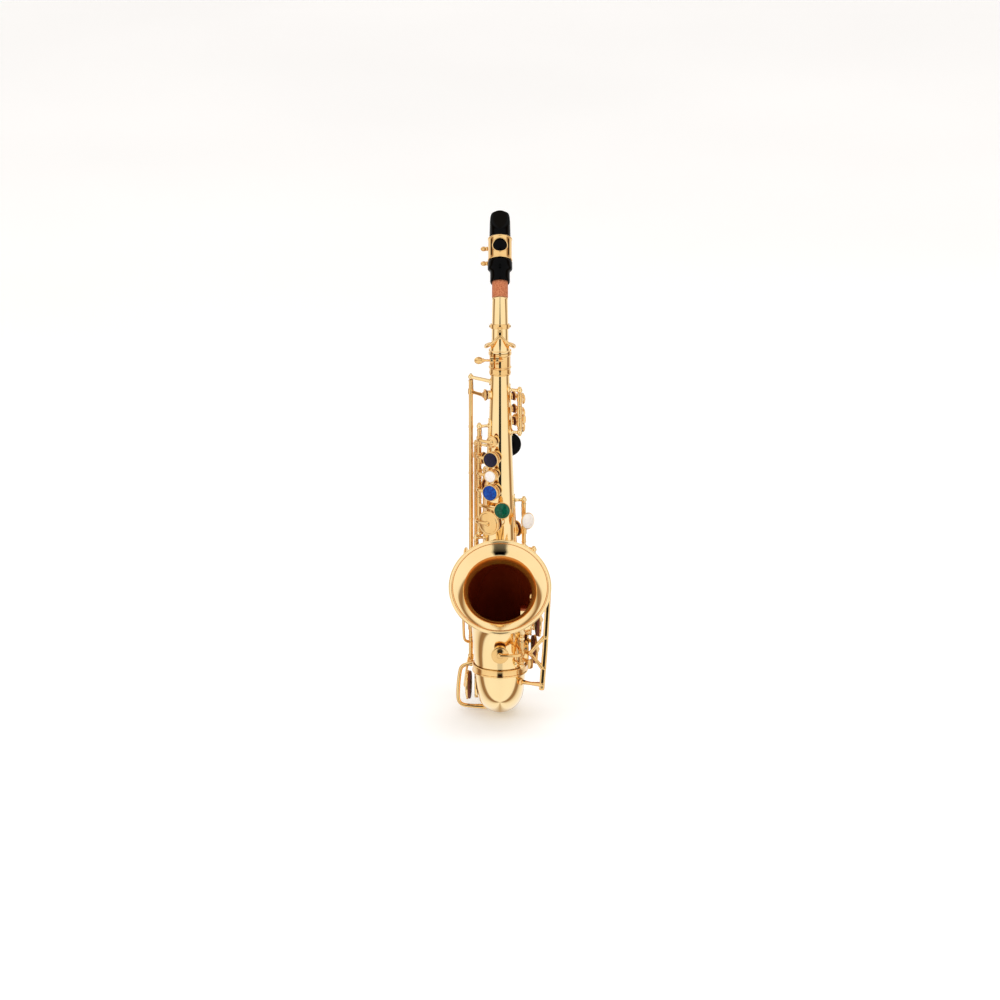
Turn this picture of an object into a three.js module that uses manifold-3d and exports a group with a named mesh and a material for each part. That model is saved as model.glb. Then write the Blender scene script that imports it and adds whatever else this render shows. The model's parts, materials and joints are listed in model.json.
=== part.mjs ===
// Curved soprano saxophone in millimetres, +Z up along the body tube.
// The bell opens towards -Y and the player stands on the +Y side.
import * as THREE from 'three';
import { mergeVertices } from 'three/addons/utils/BufferGeometryUtils.js';
import Module from 'manifold-3d';

const wasm = await Module();
wasm.setup();

// ---------------------------------------------------------------- driving dimensions
const GAP = 0.3;                  // running gap between neighbouring pieces
const WALL = 1.3;                 // brass wall, with its lacquer
const DEG = Math.PI / 180;

const BOW_JOINT_Z = 49;           // plane where the body tube and the bell meet the bow
const BODY_TOP_Z = 312.7;
const RECEIVER_TOP_Z = 334;
const BODY_R_MID = 14.7;          // body tube radius at BODY_MID_Z
const BODY_MID_Z = 157;
const BODY_TAPER = 0.0395;        // radius lost per millimetre of height

const BOW_BEND = 28;              // centreline radius of the bow
const BOW_R_IN = 19;
const BOW_R_OUT = 23;

const BELL_Y = -2 * BOW_BEND;
const BELL_RISE = 18;             // straight length above the bow joint
const BELL_BEND = 85;
const BELL_TILT = 50 * DEG;
const BELL_LIP = 10;              // straight length at the mouth
const BELL_GROWTH = 0.075;
const FLARE_START = 60;
const FLARE_RISE = 16;
const FLARE_POWER = 9;
const LIP_WALL = 0.9;             // brass at the bell's mouth
const BELL_LENGTH = BELL_RISE + BELL_BEND * BELL_TILT + BELL_LIP;

const NECK_TENON = 14;            // length held in the receiver
const NECK_RISE = 26;             // straight length, tenon included
const NECK_BEND = 80;
const NECK_TILT = 36 * DEG;
const NECK_REACH = 2;             // straight length outside the mouthpiece
const CORK_IN_MOUTHPIECE = 14;
const CORK_SHOWN = 14.5;
const NECK_ARC = NECK_BEND * NECK_TILT;
const NECK_SHANK_S = NECK_RISE + NECK_ARC + NECK_REACH;
const NECK_LENGTH = NECK_SHANK_S + CORK_IN_MOUTHPIECE;

const CHIMNEY_RISE = 2.6;         // tone hole rim above the tube
const POST_R = 1.5;
const BALL_R = 2.6;
const BARREL_R = 2.1;
const ARM_R = 1.5;
const PAD_T = 1.8;
const CUP_T = 3.6;

const STRAP_EYE = [0, 23, 178];

// ---------------------------------------------------------------- solids from three.js shapes
function toSolid(geometry) {
  const bare = geometry.clone();
  bare.deleteAttribute('normal');
  bare.deleteAttribute('uv');
  const merged = mergeVertices(bare, 1e-4);
  const points = merged.attributes.position;
  const corners = [];
  for (let i = 0; i < merged.index.count; i += 3) {
    const face = [0, 1, 2].map((k) => merged.index.getX(i + k));
    if (new Set(face).size === 3) corners.push(...face);
  }
  const at = corners.map((i) => new THREE.Vector3().fromBufferAttribute(points, i));
  let volume = 0;
  for (let i = 0; i < at.length; i += 3) volume += at[i].dot(at[i + 1].clone().cross(at[i + 2]));
  const triVerts = new Uint32Array(corners);
  if (volume < 0) triVerts.reverse();
  const vertProperties = new Float32Array(points.array);
  return new wasm.Manifold(new wasm.Mesh({ numProp: 3, vertProperties, triVerts }));
}

function join(...solids) {
  return solids.flat().reduce((whole, piece) => whole.add(piece));
}

function cut(solid, ...tools) {
  return tools.flat().reduce((whole, tool) => whole.subtract(tool), solid);
}

const vec = (p) => new THREE.Vector3(...p);

// Places a shape whose own axis is Z at a point, looking along a direction.
function aim(geometry, point, direction) {
  const turn = new THREE.Quaternion();
  turn.setFromUnitVectors(new THREE.Vector3(0, 0, 1), vec(direction).normalize());
  const matrix = new THREE.Matrix4().compose(vec(point), turn, new THREE.Vector3(1, 1, 1));
  return geometry.applyMatrix4(matrix);
}

// A turned shape: profile points are [radius, height] along the direction.
function turned(profile, point = [0, 0, 0], direction = [0, 0, 1], sides = 14) {
  const outline = profile.map(([r, h]) => new THREE.Vector2(r, h));
  const shape = new THREE.LatheGeometry(outline, sides).rotateX(Math.PI / 2);
  return toSolid(aim(shape, point, direction));
}

function disc(radius, low, high, point, direction, sides = 14) {
  return turned([[0, low], [radius, low], [radius, high], [0, high]], point, direction, sides);
}

function rod(from, to, radius, sides = 6) {
  const along = vec(to).sub(vec(from));
  return disc(radius, 0, along.length(), from, along.toArray(), sides);
}

// Rods from point to point; each runs half its thickness past a corner.
function chain(points, radius) {
  const pieces = points.slice(1).map((end, i) => {
    const along = vec(end).sub(vec(points[i])).setLength(radius * 0.5).toArray();
    return rod(points[i], i < points.length - 2 ? plus(end, along) : end, radius);
  });
  return join(pieces);
}

function ball(point, radius, sides = 6) {
  const shape = new THREE.SphereGeometry(radius, sides, Math.round(sides * 0.5));
  return toSolid(shape.rotateX(Math.PI / 2).translate(...point));
}

function block(size, point) {
  return toSolid(new THREE.BoxGeometry(...size).translate(...point));
}

function hoop(radius, tube, point, direction, sides = 16) {
  const profile = [];
  for (let i = 0; i <= 5; i += 1) {
    const angle = (i / 5) * 2 * Math.PI;
    profile.push([radius + tube * Math.cos(angle), tube * Math.sin(angle)]);
  }
  return turned(profile, point, direction, sides);
}

// A flat shape: the outline lies across the direction, centred on the point in thickness.
function slab(outline, thickness, point, acrossAxis, upAxis) {
  const shape = new THREE.Shape(outline.map(([a, b]) => new THREE.Vector2(a, b)));
  const solid = new THREE.ExtrudeGeometry(shape, { depth: thickness, bevelEnabled: false });
  solid.translate(0, 0, -thickness / 2);
  const x = vec(acrossAxis);
  const y = vec(upAxis);
  const basis = new THREE.Matrix4().makeBasis(x, y, x.clone().cross(y)).setPosition(vec(point));
  return toSolid(solid.applyMatrix4(basis));
}

// A round solid that follows a path in the YZ plane: stations are [length, radius].
function bent(path, stations, sides = 20) {
  const first = stations[0][0];
  const last = stations[stations.length - 1][0];
  const outline = [[first, 0], ...stations, [last, 0]].map(([s, r]) => new THREE.Vector2(r, s));
  const shape = new THREE.LatheGeometry(outline, sides);
  const spot = shape.attributes.position;
  for (let i = 0; i < spot.count; i += 1) {
    const { y, z, ty, tz } = path(spot.getY(i));
    const across = spot.getZ(i);
    spot.setXYZ(i, spot.getX(i), y + across * tz, z - across * ty);
  }
  return toSolid(shape);
}

function spread(start, end, steps) {
  return Array.from({ length: steps + 1 }, (_, i) => start + ((end - start) * i) / steps);
}

// ---------------------------------------------------------------- the bore's path
const bodyRadius = (z) => BODY_R_MID - BODY_TAPER * (z - BODY_MID_Z);

function bowPath(s) {
  const length = Math.PI * BOW_BEND;
  if (s < 0) return { y: 0, z: BOW_JOINT_Z - s, ty: 0, tz: -1 };
  if (s > length) return { y: BELL_Y, z: BOW_JOINT_Z + s - length, ty: 0, tz: 1 };
  const a = s / BOW_BEND;
  const y = -BOW_BEND + BOW_BEND * Math.cos(a);
  return { y, z: BOW_JOINT_Z - BOW_BEND * Math.sin(a), ty: -Math.sin(a), tz: -Math.cos(a) };
}

function bellPath(s) {
  const base = BOW_JOINT_Z + BELL_RISE;
  const a = Math.min(Math.max((s - BELL_RISE) / BELL_BEND, 0), BELL_TILT);
  const ahead = s - BELL_RISE - a * BELL_BEND;
  const y = BELL_Y - BELL_BEND * (1 - Math.cos(a)) - ahead * Math.sin(a);
  return { y, z: base + BELL_BEND * Math.sin(a) + ahead * Math.cos(a), ty: -Math.sin(a), tz: Math.cos(a) };
}

function bellRadius(s) {
  const flare = Math.max((s - FLARE_START) / (BELL_LENGTH - FLARE_START), 0);
  return BOW_R_OUT + BELL_GROWTH * s + FLARE_RISE * flare ** FLARE_POWER;
}

function neckPath(s) {
  const a = Math.min(Math.max((s - NECK_RISE) / NECK_BEND, 0), NECK_TILT);
  const ahead = s - NECK_RISE - a * NECK_BEND;
  const z0 = RECEIVER_TOP_Z - NECK_TENON + NECK_RISE;
  const y = NECK_BEND * (1 - Math.cos(a)) + ahead * Math.sin(a);
  return { y, z: z0 + NECK_BEND * Math.sin(a) + ahead * Math.cos(a), ty: Math.sin(a), tz: Math.cos(a) };
}

// ---------------------------------------------------------------- the part and its nodes
const saxophone = new THREE.Group();
saxophone.position.set(...STRAP_EYE.map((v) => -v));

const COLOURS = {
  brass: [0xd9a441, 0.25, 1.0],
  ebonite: [0x0c0c0e, 0.3, 0.0],
  cork: [0xa8623a, 0.85, 0.0],
  cane: [0xe3c98e, 0.6, 0.0],
  leather: [0x6b4630, 0.7, 0.0],
  shell: [0x24405e, 0.25, 0.0],
  pearl: [0xf1eee6, 0.25, 0.0],
};

function addNode(name, solid, colour, parent = saxophone) {
  const { vertProperties, triVerts } = solid.getMesh();
  const shape = new THREE.BufferGeometry();
  shape.setAttribute('position', new THREE.BufferAttribute(vertProperties, 3));
  shape.setIndex(new THREE.BufferAttribute(triVerts, 1));
  shape.computeVertexNormals();
  const [color, roughness, metalness] = COLOURS[colour];
  const mesh = new THREE.Mesh(shape, new THREE.MeshStandardMaterial({ color, roughness, metalness }));
  mesh.name = name;
  mesh.userData.colour = colour;
  parent.add(mesh);
  return mesh;
}

// Direction and seat of a tone hole round the body tube; the angle runs from -Y towards -X.
const outward = (angle) => [-Math.sin(angle * DEG), -Math.cos(angle * DEG), 0];
const scale = (d, k) => d.map((v) => v * k);
const plus = (a, b) => a.map((v, i) => v + b[i]);

function bodySeat(angle, z) {
  const dir = outward(angle);
  return { root: [0, 0, z], dir, seat: bodyRadius(z) + CHIMNEY_RISE };
}

function chimney({ root, dir, seat }, radius) {
  return rod(root, plus(root, scale(dir, seat)), radius, 12);
}

function toneHole({ root, dir, seat }, radius) {
  return rod(root, plus(root, scale(dir, seat + 1)), radius, 12);
}

// A post: a stem from the tube to a ball that carries the end of a hinge rod.
function post(base, top) {
  return join(rod(base, top, POST_R), ball(top, BALL_R));
}

function bodyPost([x, y], z, baseZ = z) {
  const reach = Math.hypot(x, y);
  const inner = (bodyRadius(baseZ) - 0.7) / reach;
  return post([x * inner, y * inner, baseZ], [x, y, z]);
}

const POST_STEP = BALL_R + GAP;   // from a barrel's end to the ball's centre

// ---------------------------------------------------------------- keys
// Every key is drawn closed on its tone hole. An open key is then lifted about its hinge.
const KEYS = {
  key_c: { hinge: [-19, -5], span: [247, 262], angle: 24, z: 253, r: 5.5, lift: 7, turn: 1 },
  key_b: { hinge: [-19, -5], span: [230, 246.7], angle: 18, z: 237.5, r: 7, lift: 7, turn: 1, pearl: 6.6 },
  key_bis: { hinge: [-19, -5], span: [216, 229.7], angle: 18, z: 222, r: 5.6, lift: 7, turn: 1, pearl: 5.1 },
  key_a: { hinge: [-19, -5], span: [198, 215.7], angle: 18, z: 206.5, r: 7.5, lift: 7, turn: 1, pearl: 6.8 },
  key_g: { hinge: [-19, -5], span: [166, 197.7], angle: 27, z: 176.6, r: 11.5, lift: 6, turn: 1, pad: true },
  key_f_sharp: { hinge: [-22, -6], span: [138, 156], angle: 20, z: 148, r: 10.4, lift: 6, turn: 1 },
  key_f: { hinge: [-22, -6], span: [116, 137.7], angle: 20, z: 126, r: 11, lift: 6, turn: 1, pearl: 6.8 },
  key_e: { hinge: [-22, -6], span: [93, 115.7], angle: 20, z: 103, r: 11.4, lift: 6, turn: 1, pearl: 6.8 },
  key_d: {
    hinge: [-22, -6], span: [68, 92.7], angle: 20, z: 79.5, r: 11.4, lift: 6, turn: 1, pearl: 6.8, pad: true,
  },
  key_g_sharp: { hinge: [22, 2], span: [152, 190], angle: -125, z: 163, r: 7.5, turn: -1, travel: 8 },
  key_e_flat: { hinge: [-27, 4], span: [60.3, 88], angle: 150, z: 70, r: 9.5, turn: 1, travel: 7 },
  palm_key_d: { hinge: [18, -5], span: [262, 273], angle: -115, z: 267, r: 4.5, turn: -1, travel: 8 },
  palm_key_e_flat: { hinge: [18, -5], span: [273.3, 284.3], angle: -115, z: 279, r: 4.5, turn: -1, travel: 8 },
  palm_key_f: { hinge: [18, -5], span: [284.6, 296], angle: -115, z: 291, r: 4.5, turn: -1, travel: 8 },
  side_key_e: { hinge: [-26.7, 10], span: [128, 305], angle: 80, z: 294, r: 5.5, turn: -1, travel: 8 },
  side_key_c: { hinge: [-22, 16], span: [112, 240], angle: 110, z: 232, r: 5.8, turn: -1, travel: 9 },
  side_key_b_flat: { hinge: [-14, 21.5], span: [100, 213], angle: 130, z: 205, r: 6.2, turn: -1, travel: 9 },
};
for (const key of Object.values(KEYS)) key.hole = bodySeat(key.angle, key.z);

const bowLow = bowPath((Math.PI * BOW_BEND) / 2);
const lowBellAt = (s) => ({ s, ...bellPath(s) });
const B_AT = lowBellAt(18);
const B_FLAT_AT = lowBellAt(48.6);
const C_SHARP_AT = lowBellAt(22);
KEYS.key_low_c = {
  hinge: [-27, 4], span: [38, 60], z: bowLow.z + 3, r: 13.6, lift: 5, turn: 1, pad: true,
  hole: { root: [0, bowLow.y, bowLow.z + 3], dir: [-1, 0, 0], seat: 23.6 },
};
KEYS.key_low_b = {
  hinge: [24.5, -30], span: [58, 152], z: B_AT.z, r: 13.5, lift: 6, turn: -1, pad: true,
  hole: { root: [0, B_AT.y, B_AT.z], dir: [1, 0, 0], seat: 26.3 },
};
KEYS.key_low_b_flat = {
  hinge: [31, -31], span: [84, 152], z: B_FLAT_AT.z, r: 15.6, lift: 6, turn: -1, pad: true,
  hole: { root: [0, B_FLAT_AT.y, B_FLAT_AT.z], dir: [1, 0, 0], seat: 29 },
};
KEYS.key_low_c_sharp = {
  hinge: [20, -80], span: [62, 82], z: C_SHARP_AT.z, r: 8, turn: 1, travel: 8,
  hole: { root: [0, C_SHARP_AT.y, C_SHARP_AT.z], dir: [0, -1, 0], seat: 28.4 },
};

const CHIMNEY_MARGIN = 1.4;       // pad edge beyond the chimney's outside
const holeRadius = (key) => key.r - CHIMNEY_MARGIN - WALL;
const seatPoint = (key, height) => plus(key.hole.root, scale(key.hole.dir, key.hole.seat + GAP + height));

function cupSolid(key) {
  const low = key.pad ? PAD_T + GAP : 0;
  const rim = low + (key.pad ? 1.6 : 2.6);
  const top = low + CUP_T;
  const profile = [[0, low], [key.r, low], [key.r, rim], [key.r * 0.72, top - 0.4], [0, top]];
  return turned(profile, seatPoint(key, 0), key.hole.dir, 14);
}

const cupTop = (key) => (key.pad ? PAD_T + GAP : 0) + CUP_T;
const HOLDER_RISE = 2.2;

function pearlHolder(key) {
  const base = cupTop(key) - 0.6;
  const rise = cupTop(key) + HOLDER_RISE;
  const edge = key.pearl + 0.9;
  const profile = [[0, base], [2.2, base], [2.2, rise - 0.6], [edge, rise], [edge, rise + 1], [0, rise + 1]];
  return turned(profile, seatPoint(key, 0), key.hole.dir, 12);
}

function pearlSolid(radius, point, direction) {
  return turned([[0, 0], [radius, 0], [radius, 1], [radius * 0.6, 1.9], [0, 2.2]], point, direction, 12);
}

function hingeBarrel({ hinge: [x, y], span: [z0, z1] }) {
  return rod([x, y, z0], [x, y, z1], BARREL_R, 8);
}

// An arm leaves the barrel, climbs to the height of the cup's back and runs across to it.
function hingeArm(key, z) {
  const { dir } = key.hole;
  const start = [...key.hinge, z];
  const target = seatPoint(key, cupTop(key) - ARM_R * 0.6);
  const climb = vec(target).sub(vec(start)).dot(vec(dir));
  if (climb <= 0) return rod(start, target, ARM_R);
  return chain([start, plus(start, scale(dir, climb)), target], ARM_R);
}

function leaf(point, direction, length, width, thickness = 1.8) {
  const outline = [];
  for (let i = 0; i < 8; i += 1) {
    const a = (i / 8) * 2 * Math.PI;
    outline.push([Math.cos(a) * width / 2, Math.sin(a) * length / 2]);
  }
  const normal = vec(direction).normalize();
  const side = new THREE.Vector3(0, 0, 1).cross(normal).normalize();
  const up = normal.clone().cross(side);
  return slab(outline, thickness, point, side.toArray(), up.toArray());
}

const G_PEARL = [4.1, -23.4, 190.5];
const G_SHARP_PEARL = [25.2, -9.5, 176];
const G_SHARP_FACE = [0.67, -0.74, 0.1];
const PEARL_HOLDER_R = 7.8;

function touchPlate(point, direction) {
  return disc(PEARL_HOLDER_R, -1.6, 0, point, direction, 16);
}

// What each key has besides its barrel, cup and arm.
const EXTRAS = {
  key_g: () => [rod([-19, -5, 190.5], plus(G_PEARL, [0, 2, 0]), ARM_R), touchPlate(G_PEARL, [0, -1, 0.1])],
  key_g_sharp: () => [
    rod([22, 2, 176], plus(G_SHARP_PEARL, [-0.8, 1.2, 0]), ARM_R + 0.3),
    touchPlate(G_SHARP_PEARL, G_SHARP_FACE),
  ],
  key_e_flat: () => [
    chain([[-27, 4, 83], [-31.2, 1.5, 84], [-31, -1, 96], [-33, -5.5, 104]], ARM_R),
    leaf([-33.6, -5.5, 105], [-1, -0.5, 0], 10, 13),
  ],
  key_low_c: () => [
    chain([[-27, 4, 55], [-32.5, 1, 58], [-33, -5.5, 90]], ARM_R),
    leaf([-33.6, -5.5, 93], [-1, -0.5, 0], 9, 13),
  ],
  palm_key_d: () => [
    rod([18, -5, 265], [20.5, 5, 262], ARM_R),
    leaf([20.8, 7.5, 261.5], [1, 0.25, 0], 10, 11),
  ],
  palm_key_e_flat: () => [
    rod([18, -5, 277], [20.5, 5, 275], ARM_R),
    leaf([20.8, 8, 275], [1, 0.25, 0], 9, 12),
  ],
  palm_key_f: () => [
    rod([18, -5, 289], [20.5, 5, 288], ARM_R),
    leaf([20.8, 8, 288], [1, 0.25, 0], 10, 12),
  ],
  side_key_e: () => [
    rod([-26.7, 10, 138], [-31, 18, 136], ARM_R),
    leaf([-31.6, 19, 134], [-1, 0.4, 0], 16, 8),
  ],
  side_key_c: () => [
    rod([-22, 16, 120], [-26.5, 23.5, 118], ARM_R),
    leaf([-27, 24.4, 117], [-1, 0.5, 0], 14, 8),
  ],
  side_key_b_flat: () => [
    rod([-14, 21.5, 108], [-19, 28, 105], ARM_R),
    leaf([-19.6, 28.8, 104], [-1, 0.7, 0], 14, 8),
  ],
  key_low_b: () => [
    rod([24.5, -30, 146], [29, -40, 148], ARM_R),
    leaf([29.4, -41, 148], [1, 0.3, 0.5], 12, 12),
  ],
  key_low_b_flat: () => [
    rod([31, -31, 134], [36, -40, 134], ARM_R),
    leaf([36.4, -41, 134], [1, 0.3, 0.5], 12, 12),
  ],
  key_low_c_sharp: () => [
    rod([20, -80, 66], [27, -87, 64], ARM_R),
    leaf([27.6, -87.6, 63], [0.7, -0.7, 0], 9, 6),
  ],
};

// ---------------------------------------------------------------- body tube
const onBody = Object.values(KEYS).filter((key) => key.angle !== undefined);
const BODY_LOW_Z = BOW_JOINT_Z + GAP / 2;

function coneSolid(low, high, shrink) {
  const lowR = bodyRadius(low) - shrink;
  const highR = bodyRadius(high) - shrink;
  return turned([[0, low], [lowR, low], [highR, high], [0, high]], [0, 0, 0], [0, 0, 1], 20);
}

const OCTAVE_HINGE = [6, 15];

const BODY_POSTS = [
  [[-19, -5], 262 + POST_STEP], [[-19, -5], 166 - POST_STEP],
  [[-22, -6], 156 + POST_STEP], [[-22, -6], 68 - POST_STEP],
  [[22, 2], 190 + POST_STEP], [[22, 2], 152 - POST_STEP],
  [[-27, 4], 88 + POST_STEP],
  [[18, -5], 296 + POST_STEP], [[18, -5], 262 - POST_STEP],
  [[-26.7, 10], 305 + POST_STEP], [[-26.7, 10], 128 - POST_STEP],
  [[-22, 16], 240 + POST_STEP], [[-22, 16], 112 - POST_STEP],
  [[-14, 21.5], 213 + POST_STEP], [[-14, 21.5], 100 - POST_STEP],
  [OCTAVE_HINGE, 304 + POST_STEP], [OCTAVE_HINGE, 262 - POST_STEP],
  [[24.5, -30], 152 + POST_STEP],
  [[31, -31], 152 + POST_STEP],
];

function bodyTube() {
  let tube = coneSolid(BODY_LOW_Z, BODY_TOP_Z, 0);
  tube = join(tube, onBody.map((key) => chimney(key.hole, key.r - CHIMNEY_MARGIN)));
  tube = join(tube, BODY_POSTS.map((spot) => bodyPost(...spot)));
  tube = cut(tube, coneSolid(BODY_LOW_Z - 1, BODY_TOP_Z + 1, WALL));
  return cut(tube, onBody.map((key) => toneHole(key.hole, holeRadius(key))));
}

addNode('body_tube', bodyTube(), 'brass');

// ---------------------------------------------------------------- bow and bell
const BOW_LENGTH = Math.PI * BOW_BEND;
const bowRadius = (s) => BOW_R_IN + ((BOW_R_OUT - BOW_R_IN) * s) / BOW_LENGTH;

function bowSolid() {
  const shell = bent(bowPath, spread(GAP / 2, BOW_LENGTH - GAP / 2, 10).map((s) => [s, bowRadius(s)]));
  const bore = bent(bowPath, spread(-1, BOW_LENGTH + 1, 10).map((s) => [s, bowRadius(s) - WALL]));
  const key = KEYS.key_low_c;
  const foot = post([-18.5, 0, 40], [-27, 4, 38 - POST_STEP]);
  const outside = join(shell, chimney(key.hole, key.r - CHIMNEY_MARGIN), foot);
  return cut(outside, bore, toneHole(key.hole, holeRadius(key)));
}

addNode('bow', bowSolid(), 'brass');

const BELL_STATIONS = [0.15, 18, 36, 54, 70, 82, 90, 95, 98, 100.4, BELL_LENGTH];

// The bore of the bell lies a wall's thickness inside the skin, measured square to it.
function bellBore(s) {
  const slope = (bellRadius(s + 0.05) - bellRadius(s - 0.05)) / 0.1;
  const flare = Math.max((s - FLARE_START) / (BELL_LENGTH - FLARE_START), 0);
  const wall = WALL + (LIP_WALL - WALL) * flare;
  const size = Math.hypot(1, slope);
  return [s + (wall * slope) / size, bellRadius(s) - wall / size];
}

function bellSolid() {
  const shell = bent(bellPath, BELL_STATIONS.map((s) => [s, bellRadius(s)]), 24);
  const mouth = [-1, ...BELL_STATIONS.slice(1), BELL_LENGTH + 0.3];
  const bore = bent(bellPath, mouth.map(bellBore), 24);
  const end = bellPath(BELL_LENGTH - 1.2);
  const rim = hoop(bellRadius(BELL_LENGTH) - 1.6, 1.6, [0, end.y, end.z], [0, end.ty, end.tz], 24);
  const keys = [KEYS.key_low_b, KEYS.key_low_b_flat, KEYS.key_low_c_sharp];
  const posts = [
    post([15.4, -39.6, 57], [24.5, -30, 58 - POST_STEP]),
    post([18.9, -41.4, 80], [31, -31, 84 - POST_STEP]),
    post([15, -74, 59.1], [20, -80, 62 - POST_STEP]),
    post([16.4, -75.4, 84.9], [20, -80, 82 + POST_STEP]),
  ];
  const outside = join(shell, keys.map((key) => chimney(key.hole, key.r - CHIMNEY_MARGIN)), posts);
  return cut(outside, bore, keys.map((key) => toneHole(key.hole, holeRadius(key)))).add(rim);
}

addNode('bell', bellSolid(), 'brass');

function ferrule(radius, y) {
  const inner = radius + 0.9;
  const outer = radius + 2.4;
  const half = 3.6;
  const profile = [
    [inner, -half], [outer - 0.5, -half], [outer, -half + 1.2], [outer, half - 1.2],
    [outer - 0.5, half], [inner, half], [inner, -half],
  ];
  return turned(profile, [0, y, BOW_JOINT_Z + 1.5], [0, 0, 1], 20);
}

addNode('body_to_bow_ring', ferrule(BOW_R_IN, 0), 'brass');
addNode('bow_to_bell_ring', ferrule(BOW_R_OUT + 0.2, BELL_Y), 'brass');

// ---------------------------------------------------------------- neck receiver and screw
const RECEIVER_R = 9.7;
const RECEIVER_BORE = 8.5;
const SCREW_Y = -11.8;
const SCREW_Z = 329;
const LUG_X = -5;

function receiverSolid() {
  const low = BODY_TOP_Z + GAP;
  const top = RECEIVER_TOP_Z;
  const profile = [
    [RECEIVER_BORE, low], [RECEIVER_R, low], [RECEIVER_R, low + 6], [RECEIVER_R + 0.8, low + 7],
    [RECEIVER_R, low + 8], [RECEIVER_R, top - 3], [RECEIVER_R + 0.9, top - 2], [RECEIVER_R + 0.9, top],
    [RECEIVER_BORE, top], [RECEIVER_BORE, low],
  ];
  const lug = block([8, 6.5, 7], [LUG_X, -10.7, SCREW_Z]);
  const bore = disc(RECEIVER_BORE, low, top, [0, 0, 0], [0, 0, 1], 20);
  const ring = cut(join(turned(profile, [0, 0, 0], [0, 0, 1], 20), lug), bore);
  const slit = block([1.8, 16, 14], [LUG_X, -8, top - 6.5]);
  const hole = rod([-12, SCREW_Y, SCREW_Z], [6, SCREW_Y, SCREW_Z], 1.7);
  return cut(ring, slit, hole);
}

addNode('neck_receiver', receiverSolid(), 'brass');

function thumbScrew(shaftFrom, headAt, y, z, shaftR, headR) {
  const shaft = rod([shaftFrom, y, z], [headAt, y, z], shaftR);
  const head = disc(headR, -0.9, 0.9, [headAt - headR * 0.8, y, z], [0, 1, 0], 16);
  return join(shaft, head);
}

const neckScrew = addNode('neck_screw', thumbScrew(3, -16, SCREW_Y, SCREW_Z, 1.35, 4.2), 'brass');
neckScrew.userData.joint = { point: [0, SCREW_Y, SCREW_Z], axis: [1, 0, 0], range: [0, 180] };

// ---------------------------------------------------------------- neck, cork and neck octave key
const NECK_VENT_S = 32;           // length along the neck to the octave vent
const PIVOT_S = 38;
const pivot = neckPath(PIVOT_S);
const vent = neckPath(NECK_VENT_S);
const ventDir = [0, vent.tz, -vent.ty];

function neckRadius(s) {
  return 7.7 - 0.016 * (s - NECK_RISE);
}

const CORK_FROM = NECK_SHANK_S - CORK_SHOWN;

function neckSolid() {
  const tenon = [[0, 8.2], [NECK_TENON + GAP, 8.2]];
  const collar = [[NECK_TENON + GAP, 10.4], [NECK_TENON + 2.4, 10.4], [NECK_TENON + 2.4, 9.2]];
  const tube = spread(NECK_RISE, CORK_FROM - GAP, 5).map((s) => [s, neckRadius(s)]);
  const tip = spread(CORK_FROM - GAP, NECK_LENGTH, 3).map((s) => [s, 5.9]);
  const shell = bent(neckPath, [...tenon, ...collar, ...tube, ...tip], 16);
  const bore = bent(neckPath, spread(-1, NECK_LENGTH + 1, 9).map((s) => [s, 6.7 - 0.022 * s]), 16);
  const ventTop = scale(ventDir, neckRadius(NECK_VENT_S) + 1.6);
  const nipple = rod([0, vent.y, vent.z], plus([0, vent.y, vent.z], ventTop), 2, 12);
  const pins = rod([-9.9, pivot.y, pivot.z], [9.9, pivot.y, pivot.z], 1.2);
  return cut(join(shell, nipple, pins), bore);
}

const neckTube = addNode('neck_tube', neckSolid(), 'brass');
neckTube.userData.end = neckPath(NECK_SHANK_S);

function corkSolid() {
  const stations = spread(CORK_FROM, NECK_LENGTH - 0.5, 3);
  const outer = bent(neckPath, stations.map((s) => [s, 7.3]), 18);
  const through = [CORK_FROM - 1, ...stations.slice(1), NECK_LENGTH + 1];
  const inner = bent(neckPath, through.map((s) => [s, 5.9 + GAP]), 18);
  return cut(outer, inner);
}

addNode('neck_cork', corkSolid(), 'cork');

const LOOP_R = 13.4;
const LOOP_Z = 339.2;
const LOOP_PEAK = 12.3;           // how far the loop rises to the bridge in front
const SADDLE_R = 8.9;

function octaveNeckKey() {
  const axis = [0, pivot.ty, pivot.tz];
  const inner = 8;
  const saddle = turned(
    [[inner, -2.2], [SADDLE_R, -2.2], [SADDLE_R, 2.2], [inner, 2.2], [inner, -2.2]],
    [0, pivot.y, pivot.z], axis, 24,
  );
  const turns = [];
  for (let i = 0; i <= 16; i += 1) {
    const a = (i / 16) * 2 * Math.PI;
    const front = Math.cos(a) > 0 ? 1 - Math.abs(Math.sin(a)) : 0;
    const r = LOOP_R - 2.9 * front;
    turns.push([r * Math.sin(a), -r * Math.cos(a), LOOP_Z + LOOP_PEAK * front]);
  }
  const loop = chain(turns, 1.1);
  const bridge = join(block([5, 1.6, 9], [0, -10.1, 353]), block([5, 3, 3], [0, -8.9, 357]));
  const padBase = neckRadius(NECK_VENT_S) + 1.6 + GAP;
  const cup = disc(3.2, padBase, padBase + 3, [0, vent.y, vent.z], ventDir, 14);
  const cupBack = plus([0, vent.y, vent.z], scale(ventDir, padBase + 2));
  const tail = rod([0, pivot.y + SADDLE_R + 0.3, pivot.z - 1], cupBack, 1.3);
  const holes = rod([-12, pivot.y, pivot.z], [12, pivot.y, pivot.z], 1.5);
  return cut(join(saddle, loop, bridge, cup, tail), holes);
}

const octaveKey = addNode('neck_octave_key', octaveNeckKey(), 'brass');
octaveKey.userData.joint = { point: [0, pivot.y, pivot.z], axis: [1, 0, 0], range: [0, 5] };

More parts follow.
